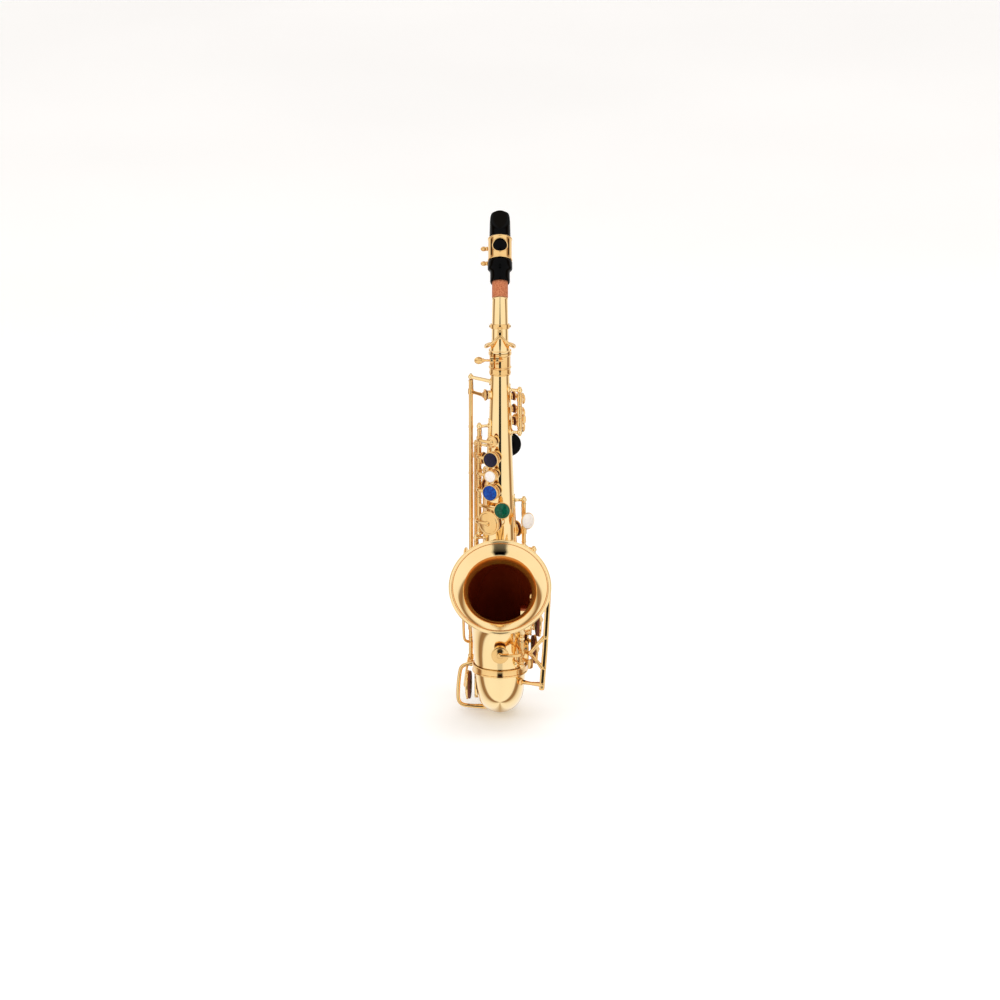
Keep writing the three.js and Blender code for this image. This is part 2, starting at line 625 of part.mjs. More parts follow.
// ---------------------------------------------------------------- mouthpiece group
const shank = neckPath(NECK_SHANK_S);
const mouth = new THREE.Group();
mouth.position.set(0, shank.y, shank.z);
mouth.rotation.x = -NECK_TILT;
saxophone.add(mouth);

const MOUTHPIECE_LENGTH = 73.5;
const TABLE_Y = 5.8;
const REED_BUTT_Z = 24;
const LIG_LOW = 21.7;
const LIG_HIGH = 43.7;
const LIG_R = 10.9;
const LIG_SCREW_Y = 13.9;
const LIG_SCREWS = { lower: 25, upper: 39.5 };

function sideShape(outline, width) {
  return slab(outline, width, [0, 0, 0], [0, 1, 0], [0, 0, 1]);
}

function mouthpieceSolid() {
  const profile = [
    [0, 0], [8.6, 0], [9.1, 1.2], [9.1, 11.5], [11.3, 13.7], [11.3, 20.2], [9.7, 21.2], [9.7, 47],
    [9.4, 60], [8.2, 69], [6.6, MOUTHPIECE_LENGTH], [0, MOUTHPIECE_LENGTH],
  ];
  const outside = turned(profile, [0, 0, 0], [0, 0, 1], 20);
  const beak = sideShape([[-14, 45], [-11, 47], [3.8, 74], [3.8, 76], [-14, 76]], 30);
  const table = block([26, 8, 54], [0, TABLE_Y + 4, 23 + 27]);
  const socket = disc(7.6 + GAP, -1, 22, [0, 0, 0], [0, 0, 1], 24);
  const chamber = disc(4.4, 20, 52, [0, 0, 0], [0, 0, 1], 20);
  const window = block([9, 6, 17], [0, 4.9, 58.5]);
  return cut(outside, beak, table, socket, chamber, window);
}

addNode('mouthpiece', mouthpieceSolid(), 'ebonite', mouth);

const reedOutline = [
  [TABLE_Y + GAP, REED_BUTT_Z], [TABLE_Y + 2.1, REED_BUTT_Z], [TABLE_Y + 2.1, 48],
  [TABLE_Y + 0.7, 72.9], [TABLE_Y + GAP, 72.9],
];
addNode('reed', sideShape(reedOutline, 11.4), 'cane', mouth);

function ligatureSolid() {
  const profile = [[0, LIG_LOW], [LIG_R, LIG_LOW], [LIG_R, LIG_HIGH], [0, LIG_HIGH]];
  const lugs = block([10, 7.2, LIG_HIGH - LIG_LOW - 2], [0, 13.2, (LIG_LOW + LIG_HIGH) / 2]);
  const inside = disc(LIG_R - 0.8, LIG_LOW - 1, LIG_HIGH + 1, [0, 0, 0], [0, 0, 1], 20);
  const slit = block([2.6, 12, 40], [0, 14, 34]);
  const porthole = rod([0, -14, 33.5], [0, -6, 33.5], 6.2, 16);
  const holes = Object.values(LIG_SCREWS).map((z) => rod([-9, LIG_SCREW_Y, z], [9, LIG_SCREW_Y, z], 1.8));
  const band = join(turned(profile, [0, 0, 0], [0, 0, 1], 20), lugs);
  return cut(band, inside, slit, porthole, holes);
}

addNode('ligature', ligatureSolid(), 'brass', mouth);
for (const [place, z] of Object.entries(LIG_SCREWS)) {
  const solid = thumbScrew(6, -12.6, LIG_SCREW_Y, z, 1.5, 2.9);
  const screw = addNode(`ligature_screw_${place}`, solid, 'brass', mouth);
  screw.userData.joint = { point: [0, LIG_SCREW_Y, z], axis: [1, 0, 0], range: [0, 180] };
}

// ---------------------------------------------------------------- guards, brace and holders
function bellBrace() {
  const x = 13;
  const middle = [x, -27, 116];
  return join(
    rod([12.3, -12.1, 118], [x, -20.6, 117], 2),
    hoop(6.4, 1.4, middle, [1, 0, 0], 20),
    rod([x, -33.4, 115], [x, -41.3, 113.8], 2),
  );
}

addNode('bell_brace', bellBrace(), 'brass');

const GUARD_Y = -80;

function lowKeyGuard() {
  const outline = [[35.5, 37], [40.5, 35], [43.5, 74], [46.5, 128], [41.5, 128], [38.5, 74]];
  const plate = slab(outline, 2.2, [0, GUARD_Y, 0], [1, 0, 0], [0, 0, 1]);
  return join(
    plate,
    rod([29.4, -78.4, 124], [43.6, GUARD_Y, 124], 1.6),
    chain([[20.8, -70.7, 70], [27, GUARD_Y, 71], [33, GUARD_Y, 78], [40.5, GUARD_Y, 86]], 1.5),
    chain([[27, GUARD_Y, 71], [33, GUARD_Y, 64], [38.5, GUARD_Y, 57]], 1.5),
    rod([20.2, -69, 40], [37.5, GUARD_Y, 41], 1.6),
  );
}

addNode('low_key_guard', lowKeyGuard(), 'brass');

function lowCGuard() {
  const y = bowLow.y;
  const corners = [[-13.4, 39.1], [-26, 44.5], [-36, 41.5], [-39, 9], [-31, 4], [-13.4, 2.9]];
  return chain(corners.map(([x, z]) => [x, y, z]), 1.8);
}

addNode('low_c_guard', lowCGuard(), 'brass');

const thumbRestProfile = [[0, 0], [6, 0], [6, 1.5], [10.4, 2.4], [11.5, 3.6], [11.5, 5], [9, 7], [0, 7]];
addNode('thumb_rest', turned(thumbRestProfile, [8, 12, 242], [0, 1, 0], 16), 'ebonite');

const HOOK_Z = 118;

function thumbHook() {
  const plate = block([13, 2, 26], [0, bodyRadius(HOOK_Z) + 1.8, HOOK_Z]);
  const y0 = bodyRadius(HOOK_Z) + 2;
  const arc = [];
  for (let i = 0; i <= 8; i += 1) {
    const a = (i / 8) * 125 * DEG;
    arc.push([Math.sin(a) * 15, Math.cos(a) * 10]);
  }
  const inner = arc.map(([p, q]) => [p * 0.86, q * 0.8]).reverse();
  const hook = slab([...arc, ...inner], 11, [0, y0 - 0.4, HOOK_Z], [0, 1, 0], [0, 0, 1]);
  return join(plate, hook);
}

addNode('thumb_hook', thumbHook(), 'brass');

function strapRing() {
  const [x, y, z] = STRAP_EYE;
  const foot = disc(5, 0, 2, [x, 14.2, z], [0, 1, 0], 16);
  const stem = rod([x, 15, z], [x, y - 5, z], 2);
  return join(foot, stem, hoop(5.4, 1.4, STRAP_EYE, [1, 0, 0], 20));
}

addNode('strap_ring', strapRing(), 'brass');

// ---------------------------------------------------------------- octave lever of the body
function octaveLever() {
  const [x, y] = OCTAVE_HINGE;
  const link = [[x, y, 298], [x, y + 5.5, 303], [x, y + 5.5, 345], [-1, 10.95, 345], [-1, 10.95, 338]];
  return join(
    rod([x, y, 262], [x, y, 304], BARREL_R, 8),
    chain(link, 1.1),
    rod([x, y, 268], [16, 17.4, 266], ARM_R),
    leaf([17.4, 17.6, 265.5], [0, 1, 0], 12, 13),
  );
}

const octave = addNode('octave_lever', octaveLever(), 'brass');
octave.userData.joint = { point: [...OCTAVE_HINGE, 281], axis: [0, 0, -1], range: [0, 8] };

// ---------------------------------------------------------------- all the keys
// Turns a solid drawn closed to its rest place, lifted off its tone hole.
function atRest(solid, key) {
  if (!key.lift) return solid;
  const [x, y] = key.hinge;
  return solid.translate([-x, -y, 0]).rotate([0, 0, -key.turn * key.lift]).translate([x, y, 0]);
}

const PEARL_KINDS = { key_bis: 'pearl', key_g_sharp: 'pearl' };

function addPearl(name, radius, point, direction) {
  const key = KEYS[name];
  const pearl = atRest(pearlSolid(radius, point, direction), key);
  addNode(name.replace('key', 'pearl'), pearl, PEARL_KINDS[name] || 'shell');
}

for (const [name, key] of Object.entries(KEYS)) {
  const pieces = [hingeBarrel(key), cupSolid(key), hingeArm(key, Math.max(key.z, key.span[0] + ARM_R + 0.2))];
  if (key.pearl) pieces.push(pearlHolder(key));
  if (EXTRAS[name]) pieces.push(...EXTRAS[name]());
  const mesh = addNode(name, atRest(join(pieces), key), 'brass');
  const middle = (key.span[0] + key.span[1]) / 2;
  const range = [0, key.lift || key.travel];
  mesh.userData.joint = { point: [...key.hinge, middle], axis: [0, 0, key.turn], range };
  if (key.pad) {
    const pad = disc(key.r - 0.5, 0, PAD_T, seatPoint(key, 0), key.hole.dir, 18);
    addNode(`${name}_pad`, atRest(pad, key), 'leather');
  }
  if (key.pearl) {
    const height = cupTop(key) + HOLDER_RISE + 1 + GAP;
    addPearl(name, key.pearl, seatPoint(key, height), key.hole.dir);
  }
}
addPearl('key_g', 6.9, plus(G_PEARL, [0, -GAP, 0]), [0, -1, 0.1]);
addPearl('key_g_sharp', 7, plus(G_SHARP_PEARL, scale(G_SHARP_FACE, GAP)), G_SHARP_FACE);

export default saxophone;
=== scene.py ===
# Curved soprano saxophone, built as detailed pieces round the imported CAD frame.
# Shapes are in millimetres. The body tube's axis is x = y = 0 and z = 0 is the lowest point of the bow.
import json
import math

import bmesh
import bpy
from mathutils import Matrix, Vector


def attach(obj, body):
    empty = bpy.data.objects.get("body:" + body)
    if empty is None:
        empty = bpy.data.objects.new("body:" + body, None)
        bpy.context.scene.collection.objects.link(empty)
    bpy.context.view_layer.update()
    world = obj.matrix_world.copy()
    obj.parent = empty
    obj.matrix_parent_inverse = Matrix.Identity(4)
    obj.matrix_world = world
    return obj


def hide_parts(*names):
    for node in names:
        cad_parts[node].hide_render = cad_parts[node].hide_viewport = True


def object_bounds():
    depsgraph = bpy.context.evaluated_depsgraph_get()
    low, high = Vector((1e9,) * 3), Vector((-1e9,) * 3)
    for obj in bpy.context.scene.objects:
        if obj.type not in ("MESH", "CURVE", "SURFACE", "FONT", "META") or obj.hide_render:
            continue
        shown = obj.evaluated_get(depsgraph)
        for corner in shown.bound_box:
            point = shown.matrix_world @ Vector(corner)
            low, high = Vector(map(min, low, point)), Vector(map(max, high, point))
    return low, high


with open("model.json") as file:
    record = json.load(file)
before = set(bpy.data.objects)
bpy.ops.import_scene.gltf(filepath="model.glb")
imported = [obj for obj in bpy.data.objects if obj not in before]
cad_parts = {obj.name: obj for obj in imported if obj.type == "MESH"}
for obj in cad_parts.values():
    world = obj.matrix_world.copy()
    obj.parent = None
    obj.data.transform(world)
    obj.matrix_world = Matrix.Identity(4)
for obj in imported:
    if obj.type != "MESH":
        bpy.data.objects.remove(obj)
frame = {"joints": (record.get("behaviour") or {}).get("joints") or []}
cad_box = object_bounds()

SWIVEL_Z = 330
swivel = next(joint for joint in frame["joints"] if joint["name"] == "neck_swivel")
FOOT = Vector(swivel["pos_m"]) - Vector((0, 0, SWIVEL_Z / 1000))

GAP = 0.3  # between pieces that move against each other
WALL = 1.3
NO_RADIUS = 0.002  # a lathed form's point on its own axis
END_ANGLES = (5, 20, 45, 70)  # rings of a bar's rounded end, in degrees from its tip


# ---------------------------------------------------------------- small geometry helpers
def spread(start, end, steps):
    return [start + (end - start) * i / steps for i in range(steps + 1)]


def circle(count):
    return [2 * math.pi * i / count for i in range(count)]


def basis(direction, up=None):
    z = Vector(direction).normalized()
    if up is None:
        up = (0, 0, 1) if abs(z.z) < 0.9 else (0, 1, 0)
    up = Vector(up)
    y = (up - z * z.dot(up)).normalized()
    return y.cross(z), y, z


def smooth(points, per=8):
    """Points along a soft curve through the given ones."""
    given = [Vector(p) for p in points]
    given = [2 * given[0] - given[1], *given, 2 * given[-1] - given[-2]]
    out = []
    for a, b, c, d in zip(given, given[1:], given[2:], given[3:]):
        for i in range(per):
            t = i / per
            out.append(
                0.5 * (2 * b + (c - a) * t + (2 * a - 5 * b + 4 * c - d) * t * t + (3 * b - a - 3 * c + d) * t**3)
            )
    return [*out, given[-2]]


def between(values, per=8):
    """One value for each point that smooth() makes."""
    out = []
    for a, b in zip(values, values[1:]):
        out += [a + (b - a) * i / per for i in range(per)]
    return [*out, values[-1]]


def rounded(profile, size=0.3, steps=3):
    """The profile with its inner corners rounded."""
    points = [Vector(p) for p in profile]
    out = [points[0]]
    for a, b, c in zip(points, points[1:], points[2:]):
        back = min(size, (a - b).length * 0.45)
        ahead = min(size, (c - b).length * 0.45)
        p = b + (a - b).normalized() * back
        q = b + (c - b).normalized() * ahead
        out += [p * (1 - t) ** 2 + b * 2 * t * (1 - t) + q * t * t for t in spread(0, 1, steps)]
    return [*out, points[-1]]


def oval(width, height, power, count=40):
    """A superellipse outline."""
    out = []
    for a in circle(count):
        c, s = math.cos(a), math.sin(a)
        out.append((
            math.copysign(abs(c) ** (2 / power), c) * width / 2,
            math.copysign(abs(s) ** (2 / power), s) * height / 2,
        ))
    return out


class Shape:
    """Skins gathered into one piece. mark is the material's place in the piece's list."""

    def __init__(self):
        self.verts, self.faces, self.marks = [], [], []

    def skin(self, rings, closed=False, mark=0):
        first = len(self.verts)
        count = len(rings[0])
        total = len(rings)
        for ring in rings:
            self.verts += [Vector(p) for p in ring]
        faces = []
        for i in range(total if closed else total - 1):
            a = first + i * count
            b = first + ((i + 1) % total) * count
            for k in range(count):
                faces.append((a + k, a + (k + 1) % count, b + (k + 1) % count, b + k))
        if not closed:
            faces.append(tuple(range(first + count - 1, first - 1, -1)))
            faces.append(tuple(range(first + (total - 1) * count, first + total * count)))
        self.faces += faces
        self.marks += [mark] * len(faces)
        return self

    def turned(self, profile, point=(0, 0, 0), direction=(0, 0, 1), sides=48, soft=0.0, mark=0, closed=False):
        """A lathed form: profile points are (radius, height along the direction)."""
        x, y, z = basis(direction)
        at = Vector(point)
        outline = rounded(profile, soft) if soft else profile
        rings = []
        for r, h in outline:
            rings.append([
                at + z * h + (x * math.cos(a) + y * math.sin(a)) * max(r, NO_RADIUS)
                for a in circle(sides)
            ])
        return self.skin(rings, closed=closed, mark=mark)

    def bent(self, path, stations, sides=64, closed=False):
        """A round form along a path in the YZ plane: stations are (length, radius)."""
        rings = []
        for s, r in stations:
            centre, along = path(s)
            across = Vector((0, along.z, -along.y))
            rings.append([
                centre + (Vector((math.cos(a), 0, 0)) + across * math.sin(a)) * max(r, NO_RADIUS)
                for a in circle(sides)
            ])
        return self.skin(rings, closed=closed)

    def sweep(self, points, widths, flat=1.0, up=(0, 0, 1), sides=16, per=8, closed=False):
        """A bar along a soft curve. widths are half-widths; flat is thickness over width, measured along up."""
        track = smooth(points, per) if per > 1 else [Vector(p) for p in points]
        sizes = between(widths, per) if per > 1 else list(widths)
        if closed:
            track, sizes = track[:-1], sizes[:-1]
        total = len(track)
        rings = []
        up = Vector(up)

        def ring(at, along, size):
            n = up - along * along.dot(up)
            n = n.normalized() if n.length > 0.05 else along.orthogonal().normalized()
            b = along.cross(n)
            return [
                at + b * math.cos(a) * size + n * math.sin(a) * size * flat
                for a in circle(sides)
            ]

        for i, at in enumerate(track):
            if closed:
                along = (track[(i + 1) % total] - track[i - 1]).normalized()
            else:
                along = (track[min(i + 1, total - 1)] - track[max(i - 1, 0)]).normalized()
            if i == 0 and not closed:
                for k in END_ANGLES:
                    size = math.sin(math.radians(k))
                    rings.append(ring(at - along * sizes[0] * 0.8 * math.cos(math.radians(k)), along, sizes[0] * size))
            rings.append(ring(at, along, sizes[i]))
            if i == total - 1 and not closed:
                for k in reversed(END_ANGLES):
                    size = math.sin(math.radians(k))
                    rings.append(ring(at + along * sizes[i] * 0.8 * math.cos(math.radians(k)), along, sizes[i] * size))
        return self.skin(rings, closed=closed)

    def plate(self, outline, thick, point, normal, up=(0, 0, 1), crown=0.4, edge=0.45):
        """A flat form with rounded edges and a domed face on the normal's side."""
        x, y, z = basis(normal, up)
        at = Vector(point)
        size = min(max(abs(p[0]) for p in outline), max(abs(p[1]) for p in outline))
        inset = 1 - edge / size
        levels = [
            (inset - 0.5, -thick / 2), (inset, -thick / 2), ((1 + inset) / 2 + 0.01, -thick / 2 + edge * 0.35),
            (1, -thick / 2 + edge),
            (1, thick / 2 - edge), ((1 + inset) / 2 + 0.01, thick / 2 - edge * 0.3), (inset, thick / 2),
            (inset * 0.75, thick / 2 + crown * 0.5), (inset * 0.45, thick / 2 + crown * 0.85),
            (0.02, thick / 2 + crown),
        ]
        return self.skin([[at + (x * a + y * b) * k + z * h for a, b in outline] for k, h in levels])

    def ball(self, point, radius):
        profile = [(radius * math.sin(a), -radius * math.cos(a)) for a in spread(0, math.pi, 12)]
        return self.turned(profile, point, sides=24)

    def hoop(self, radius, tube, point, direction, sides=64):
        profile = [(radius + tube * math.cos(a), tube * math.sin(a)) for a in circle(16)]
        return self.turned(profile, point, direction, sides, closed=True)

    def rod(self, start, end, radius, sides, soft):
        along = Vector(end) - Vector(start)
        profile = [(0, 0), (radius, 0), (radius, along.length), (0, along.length)]
        return self.turned(profile, start, along, sides, soft)

    def slotted_head(self, point, direction, radius, tall):
        """A screw head with a slot, standing on the point."""
        x, y, z = basis(direction)
        at = Vector(point)
        half = radius * 0.16
        for side in (-1, 1):
            outline = []
            start = math.asin(half / radius)
            for a in spread(start, math.pi - start, 12):
                outline.append((radius * math.cos(a), side * radius * math.sin(a)))
            levels = [(1, -0.6), (1, tall * 0.6), (0.93, tall * 0.9), (0.85, tall)]
            middle = Vector((0, side * radius * 0.5))
            self.skin([
                [at + x * (middle.x + (a - middle.x) * k) + y * (middle.y + (b - middle.y) * (k if abs(b) > half * 1.01
                else 1)) + z * h
                 for a, b in outline]
                for k, h in levels
            ])
        return self.turned([(0, -0.6), (radius * 0.98, -0.6), (radius * 0.98, tall * 0.35), (0, tall * 0.35)], at,
            direction, 20)

    def place(self, matrix):
        self.verts = [matrix @ v for v in self.verts]
        return self

    def turn(self, point, axis, degrees):
        at = Vector(point)
        matrix = Matrix.Translation(at) @ Matrix.Rotation(math.radians(degrees), 4, axis) @ Matrix.Translation(-at)
        return self.place(matrix)


def make_mesh(name, shape, sharp):
    mesh = bpy.data.meshes.new(name)
    mesh.from_pydata([FOOT + v / 1000 for v in shape.verts], [], shape.faces)
    mesh.polygons.foreach_set("material_index", shape.marks)
    bm = bmesh.new()
    bm.from_mesh(mesh)
    bmesh.ops.remove_doubles(bm, verts=bm.verts, dist=4e-6)
    bmesh.ops.recalc_face_normals(bm, faces=bm.faces)
    bm.to_mesh(mesh)
    bm.free()
    mesh.shade_smooth()
    mesh.set_sharp_from_angle(angle=math.radians(sharp))
    return mesh


def piece(name, shape, body, finishes, nodes=(), sharp=40):
    mesh = make_mesh(name, shape, sharp)
    for finish in finishes:
        mesh.materials.append(finish)
    obj = bpy.data.objects.new(name, mesh)
    bpy.context.scene.collection.objects.link(obj)
    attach(obj, body)
    if nodes:
        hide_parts(*nodes)
    return obj


def fine(node, shape, body="body", finish=None, sharp=40):
    """The detailed piece that stands for the CAD node of that name."""
    return piece(f"{node}_fine", shape, body, [finish or LACQUER_KEYS_PAINTED_SHADE], [node], sharp)


def carve(obj, *shapes):
    """Cuts the shapes out of a piece."""
    cutters = []
    for shape in shapes:
        cutter = bpy.data.objects.new("cutter", make_mesh("cutter", shape, 40))
        bpy.context.scene.collection.objects.link(cutter)
        modifier = obj.modifiers.new("cut", "BOOLEAN")
        modifier.operation = "DIFFERENCE"
        modifier.solver = "EXACT"
        modifier.object = cutter
        cutters.append(cutter)
    bpy.context.view_layer.update()
    done = bpy.data.meshes.new_from_object(obj.evaluated_get(bpy.context.evaluated_depsgraph_get()))
    obj.modifiers.clear()
    obj.data = done
    done.set_sharp_from_angle(angle=math.radians(40))
    for cutter in cutters:
        bpy.data.objects.remove(cutter)


# ---------------------------------------------------------------- materials
def srgb(r, g, b):
    return (*[(c / 255) ** 2.2 for c in (r, g, b)], 1)


def look(name, tones, rough, scale, metallic=0.0, bump=0.0, bump_scale=None, stretch=(1, 1, 1), kind="noise",
           warp=0.0, detail=4.0, fixed=None):
    """A material whose colour and roughness vary over the object with a noise, wave or cell pattern."""
    material = bpy.data.materials.new(name)
    material.use_nodes = True
    nodes, links = material.node_tree.nodes, material.node_tree.links
    shader = nodes["Principled BSDF"]
    shader.inputs["Metallic"].default_value = metallic
    for socket, value in (fixed or {}).items():
        shader.inputs[socket].default_value = value
    where = nodes.new("ShaderNodeTexCoord")
    mapping = nodes.new("ShaderNodeMapping")
    mapping.inputs["Scale"].default_value = stretch
    links.new(where.outputs["Object"], mapping.inputs["Vector"])

    def pattern(size, sort):
        if sort == "wave":
            node = nodes.new("ShaderNodeTexWave")
            node.inputs["Distortion"].default_value = warp
            node.inputs["Detail"].default_value = detail
        elif sort == "cells":
            node = nodes.new("ShaderNodeTexVoronoi")
        else:
            node = nodes.new("ShaderNodeTexNoise")
            node.inputs["Detail"].default_value = detail
            node.inputs["Distortion"].default_value = warp
        node.inputs["Scale"].default_value = size
        links.new(mapping.outputs["Vector"], node.inputs["Vector"])
        return node.outputs["Distance" if sort == "cells" else "Fac"]

    value = pattern(scale, kind)
    ramp = nodes.new("ShaderNodeValToRGB")
    stops = ramp.color_ramp.elements
    for place, _ in tones[2:]:
        stops.new(place)
    for stop, (place, color) in zip(stops, tones):
        stop.position = place
        stop.color = color
    links.new(value, ramp.inputs["Fac"])
    links.new(ramp.outputs["Color"], shader.inputs["Base Color"])
    sheen = nodes.new("ShaderNodeMapRange")
    sheen.inputs["To Min"].default_value, sheen.inputs["To Max"].default_value = rough
    links.new(pattern(scale * 1.7, "noise"), sheen.inputs["Value"])
    links.new(sheen.outputs["Result"], shader.inputs["Roughness"])
    if bump:
        relief = nodes.new("ShaderNodeBump")
        relief.inputs["Strength"].default_value = bump
        relief.inputs["Distance"].default_value = 0.0003
        links.new(pattern(bump_scale or scale, kind), relief.inputs["Height"])
        links.new(relief.outputs["Normal"], shader.inputs["Normal"])
    return material


def gold(name, light, dark, rough, coat=0.35):
    return look(name, [(0.3, dark), (0.7, light)], rough, 22, metallic=1.0, bump=0.012, bump_scale=900,
                  fixed={"Coat Weight": coat, "Coat Roughness": 0.06, "Coat IOR": 1.5})


LACQUER = gold("gold_lacquer", srgb(255, 226, 168), srgb(253, 218, 156), (0.05, 0.09))
# The lacquer of the keywork and small fittings is the body's gold made darker and browner: painted shade for the dark
# gaps between parts.
LACQUER_KEYS_PAINTED_SHADE = gold("gold_lacquer_keys_painted_shade", srgb(252, 213, 148), srgb(236, 186, 114), (0.06, 0.12))
# Painted shade: amber and deep-brown copies of the lacquer stand in for the dark reflections of the bell's throat on
# its lining.
LACQUER_PAINTED_AMBER_SHADE = look("gold_lacquer_throat_painted_shade", [(0.3, srgb(206, 122, 44)), (0.7, srgb(230, 152, 66))], (0.14, 0.24), 22,
    metallic=0.75,
                       bump=0.012, bump_scale=900)
LACQUER_PAINTED_DEEP_SHADE = look("gold_lacquer_inside_painted_shade", [(0.3, srgb(122, 40, 18)), (0.7, srgb(150, 58, 26))], (0.16, 0.28), 22,
    metallic=0.6,
                      bump=0.012, bump_scale=900)
STEEL = look("blued_steel", [(0.35, srgb(120, 122, 128)), (0.65, srgb(168, 166, 162))], (0.18, 0.34), 300,
               metallic=1.0, bump=0.05, bump_scale=1500, stretch=(1, 1, 0.1))
EBONITE = look("ebonite", [(0.4, srgb(2, 2, 3)), (0.6, srgb(5, 5, 7))], (0.1, 0.18), 120, bump=0.02,
                 bump_scale=1400, fixed={"Specular IOR Level": 0.07})
CORK = look("cork", [(0.2, srgb(104, 52, 28)), (0.42, srgb(176, 98, 62)), (0.7, srgb(206, 134, 92))], (0.7, 0.9), 900,
              bump=0.7, bump_scale=1300, detail=8)
CANE = look("reed_cane", [(0.3, srgb(196, 160, 98)), (0.6, srgb(232, 206, 150))], (0.45, 0.6), 1500, bump=0.35,
              stretch=(1, 0.06, 0.06), detail=6)
LEATHER = look("pad_leather", [(0.0, srgb(58, 22, 12)), (0.5, srgb(112, 50, 30))], (0.5, 0.7), 900, kind="cells",
                 bump=0.5, bump_scale=1100)
FELT = look("felt", [(0.3, srgb(26, 24, 24)), (0.7, srgb(52, 48, 46))], (0.85, 0.95), 1800, bump=0.8, detail=8)
PEARL = look("white_pearl", [(0.25, srgb(226, 214, 206)), (0.5, srgb(246, 238, 228)), (0.75, srgb(232, 222, 226))],
               (0.12, 0.22), 160, warp=2.5,
               fixed={"Coat Weight": 0.8, "Coat Roughness": 0.05, "Sheen Weight": 0.15})


def shell(name, low, middle, high):
    return look(name, [(0.2, low), (0.5, middle), (0.72, high)], (0.1, 0.2), 150, warp=3.0, detail=5,
                  bump=0.04, fixed={"Specular IOR Level": 0.2, "Coat Weight": 0.12, "Coat Roughness": 0.08})


NAVY = shell("shell_navy", srgb(8, 4, 20), srgb(22, 14, 44), srgb(44, 26, 64))
BLUE = shell("shell_blue", srgb(0, 28, 96), srgb(4, 62, 150), srgb(24, 104, 184))
GREEN = shell("shell_green", srgb(2, 44, 34), srgb(6, 78, 58), srgb(28, 104, 74))


# ---------------------------------------------------------------- the bore's path
BOW_JOINT_Z = 49
BODY_TOP_Z = 312.7
RECEIVER_TOP_Z = 334
BOW_BEND = 28
BOW_R_IN, BOW_R_OUT = 19, 23
BOW_LENGTH = math.pi * BOW_BEND
BELL_Y = -2 * BOW_BEND
BELL_RISE, BELL_BEND, BELL_TILT = 18, 85, math.radians(50)
BELL_LENGTH = BELL_RISE + BELL_BEND * BELL_TILT + 10
NECK_RISE, NECK_BEND, NECK_TILT = 26, 80, math.radians(36)
NECK_SHANK_S = NECK_RISE + NECK_BEND * NECK_TILT + 2
NECK_LENGTH = NECK_SHANK_S + 14


def body_radius(z):
    return 14.7 - 0.0395 * (z - 157)


def bow_path(s):
    a = min(max(s / BOW_BEND, 0), math.pi)
    extra = s - a * BOW_BEND
    along = Vector((0, -math.sin(a), -math.cos(a)))
    centre = Vector((0, BOW_BEND * (math.cos(a) - 1), BOW_JOINT_Z - BOW_BEND * math.sin(a)))
    return centre + along * extra, along


def bell_path(s):
    a = min(max((s - BELL_RISE) / BELL_BEND, 0), BELL_TILT)
    ahead = s - BELL_RISE - a * BELL_BEND
    along = Vector((0, -math.sin(a), math.cos(a)))
    centre = Vector((0, BELL_Y - BELL_BEND * (1 - math.cos(a)), BOW_JOINT_Z + BELL_RISE + BELL_BEND * math.sin(a)))
    return centre + along * ahead, along


def neck_path(s):
    a = min(max((s - NECK_RISE) / NECK_BEND, 0), NECK_TILT)
    ahead = s - NECK_RISE - a * NECK_BEND
    along = Vector((0, math.sin(a), math.cos(a)))
    centre = Vector((0, NECK_BEND * (1 - math.cos(a)), RECEIVER_TOP_Z - 14 + NECK_RISE + NECK_BEND * math.sin(a)))
    return centre + along * ahead, along


def bow_radius(s):
    return BOW_R_IN + (BOW_R_OUT - BOW_R_IN) * s / BOW_LENGTH


def bell_radius(s):
    flare = max((s - 60) / (BELL_LENGTH - 60), 0)
    return BOW_R_OUT + 0.075 * s + 16 * flare**9


def bell_bore(s):
    """The bore of the bell: a wall's thickness inside the skin, measured square to it."""
    slope = (bell_radius(s + 0.05) - bell_radius(s - 0.05)) / 0.1
    wall = WALL - 0.4 * max((s - 60) / (BELL_LENGTH - 60), 0)
    size = math.hypot(1, slope)
    return s + wall * slope / size, bell_radius(s) - wall / size


def neck_radius(s):
    return 7.7 - 0.016 * (s - NECK_RISE)


# ---------------------------------------------------------------- keys: hinge, barrel, tone hole
CHIMNEY_RISE = 2.6
BARREL_R = 2.1
BALL_R = 2.6
POST_STEP = BALL_R + GAP


def around(angle):
    a = math.radians(angle)
    return Vector((-math.sin(a), -math.cos(a), 0))


def on_body(angle, z):
    return Vector((0, 0, z)), around(angle), body_radius(z) + CHIMNEY_RISE


def on_bell(s, direction, seat):
    return bell_path(s)[0], Vector(direction), seat


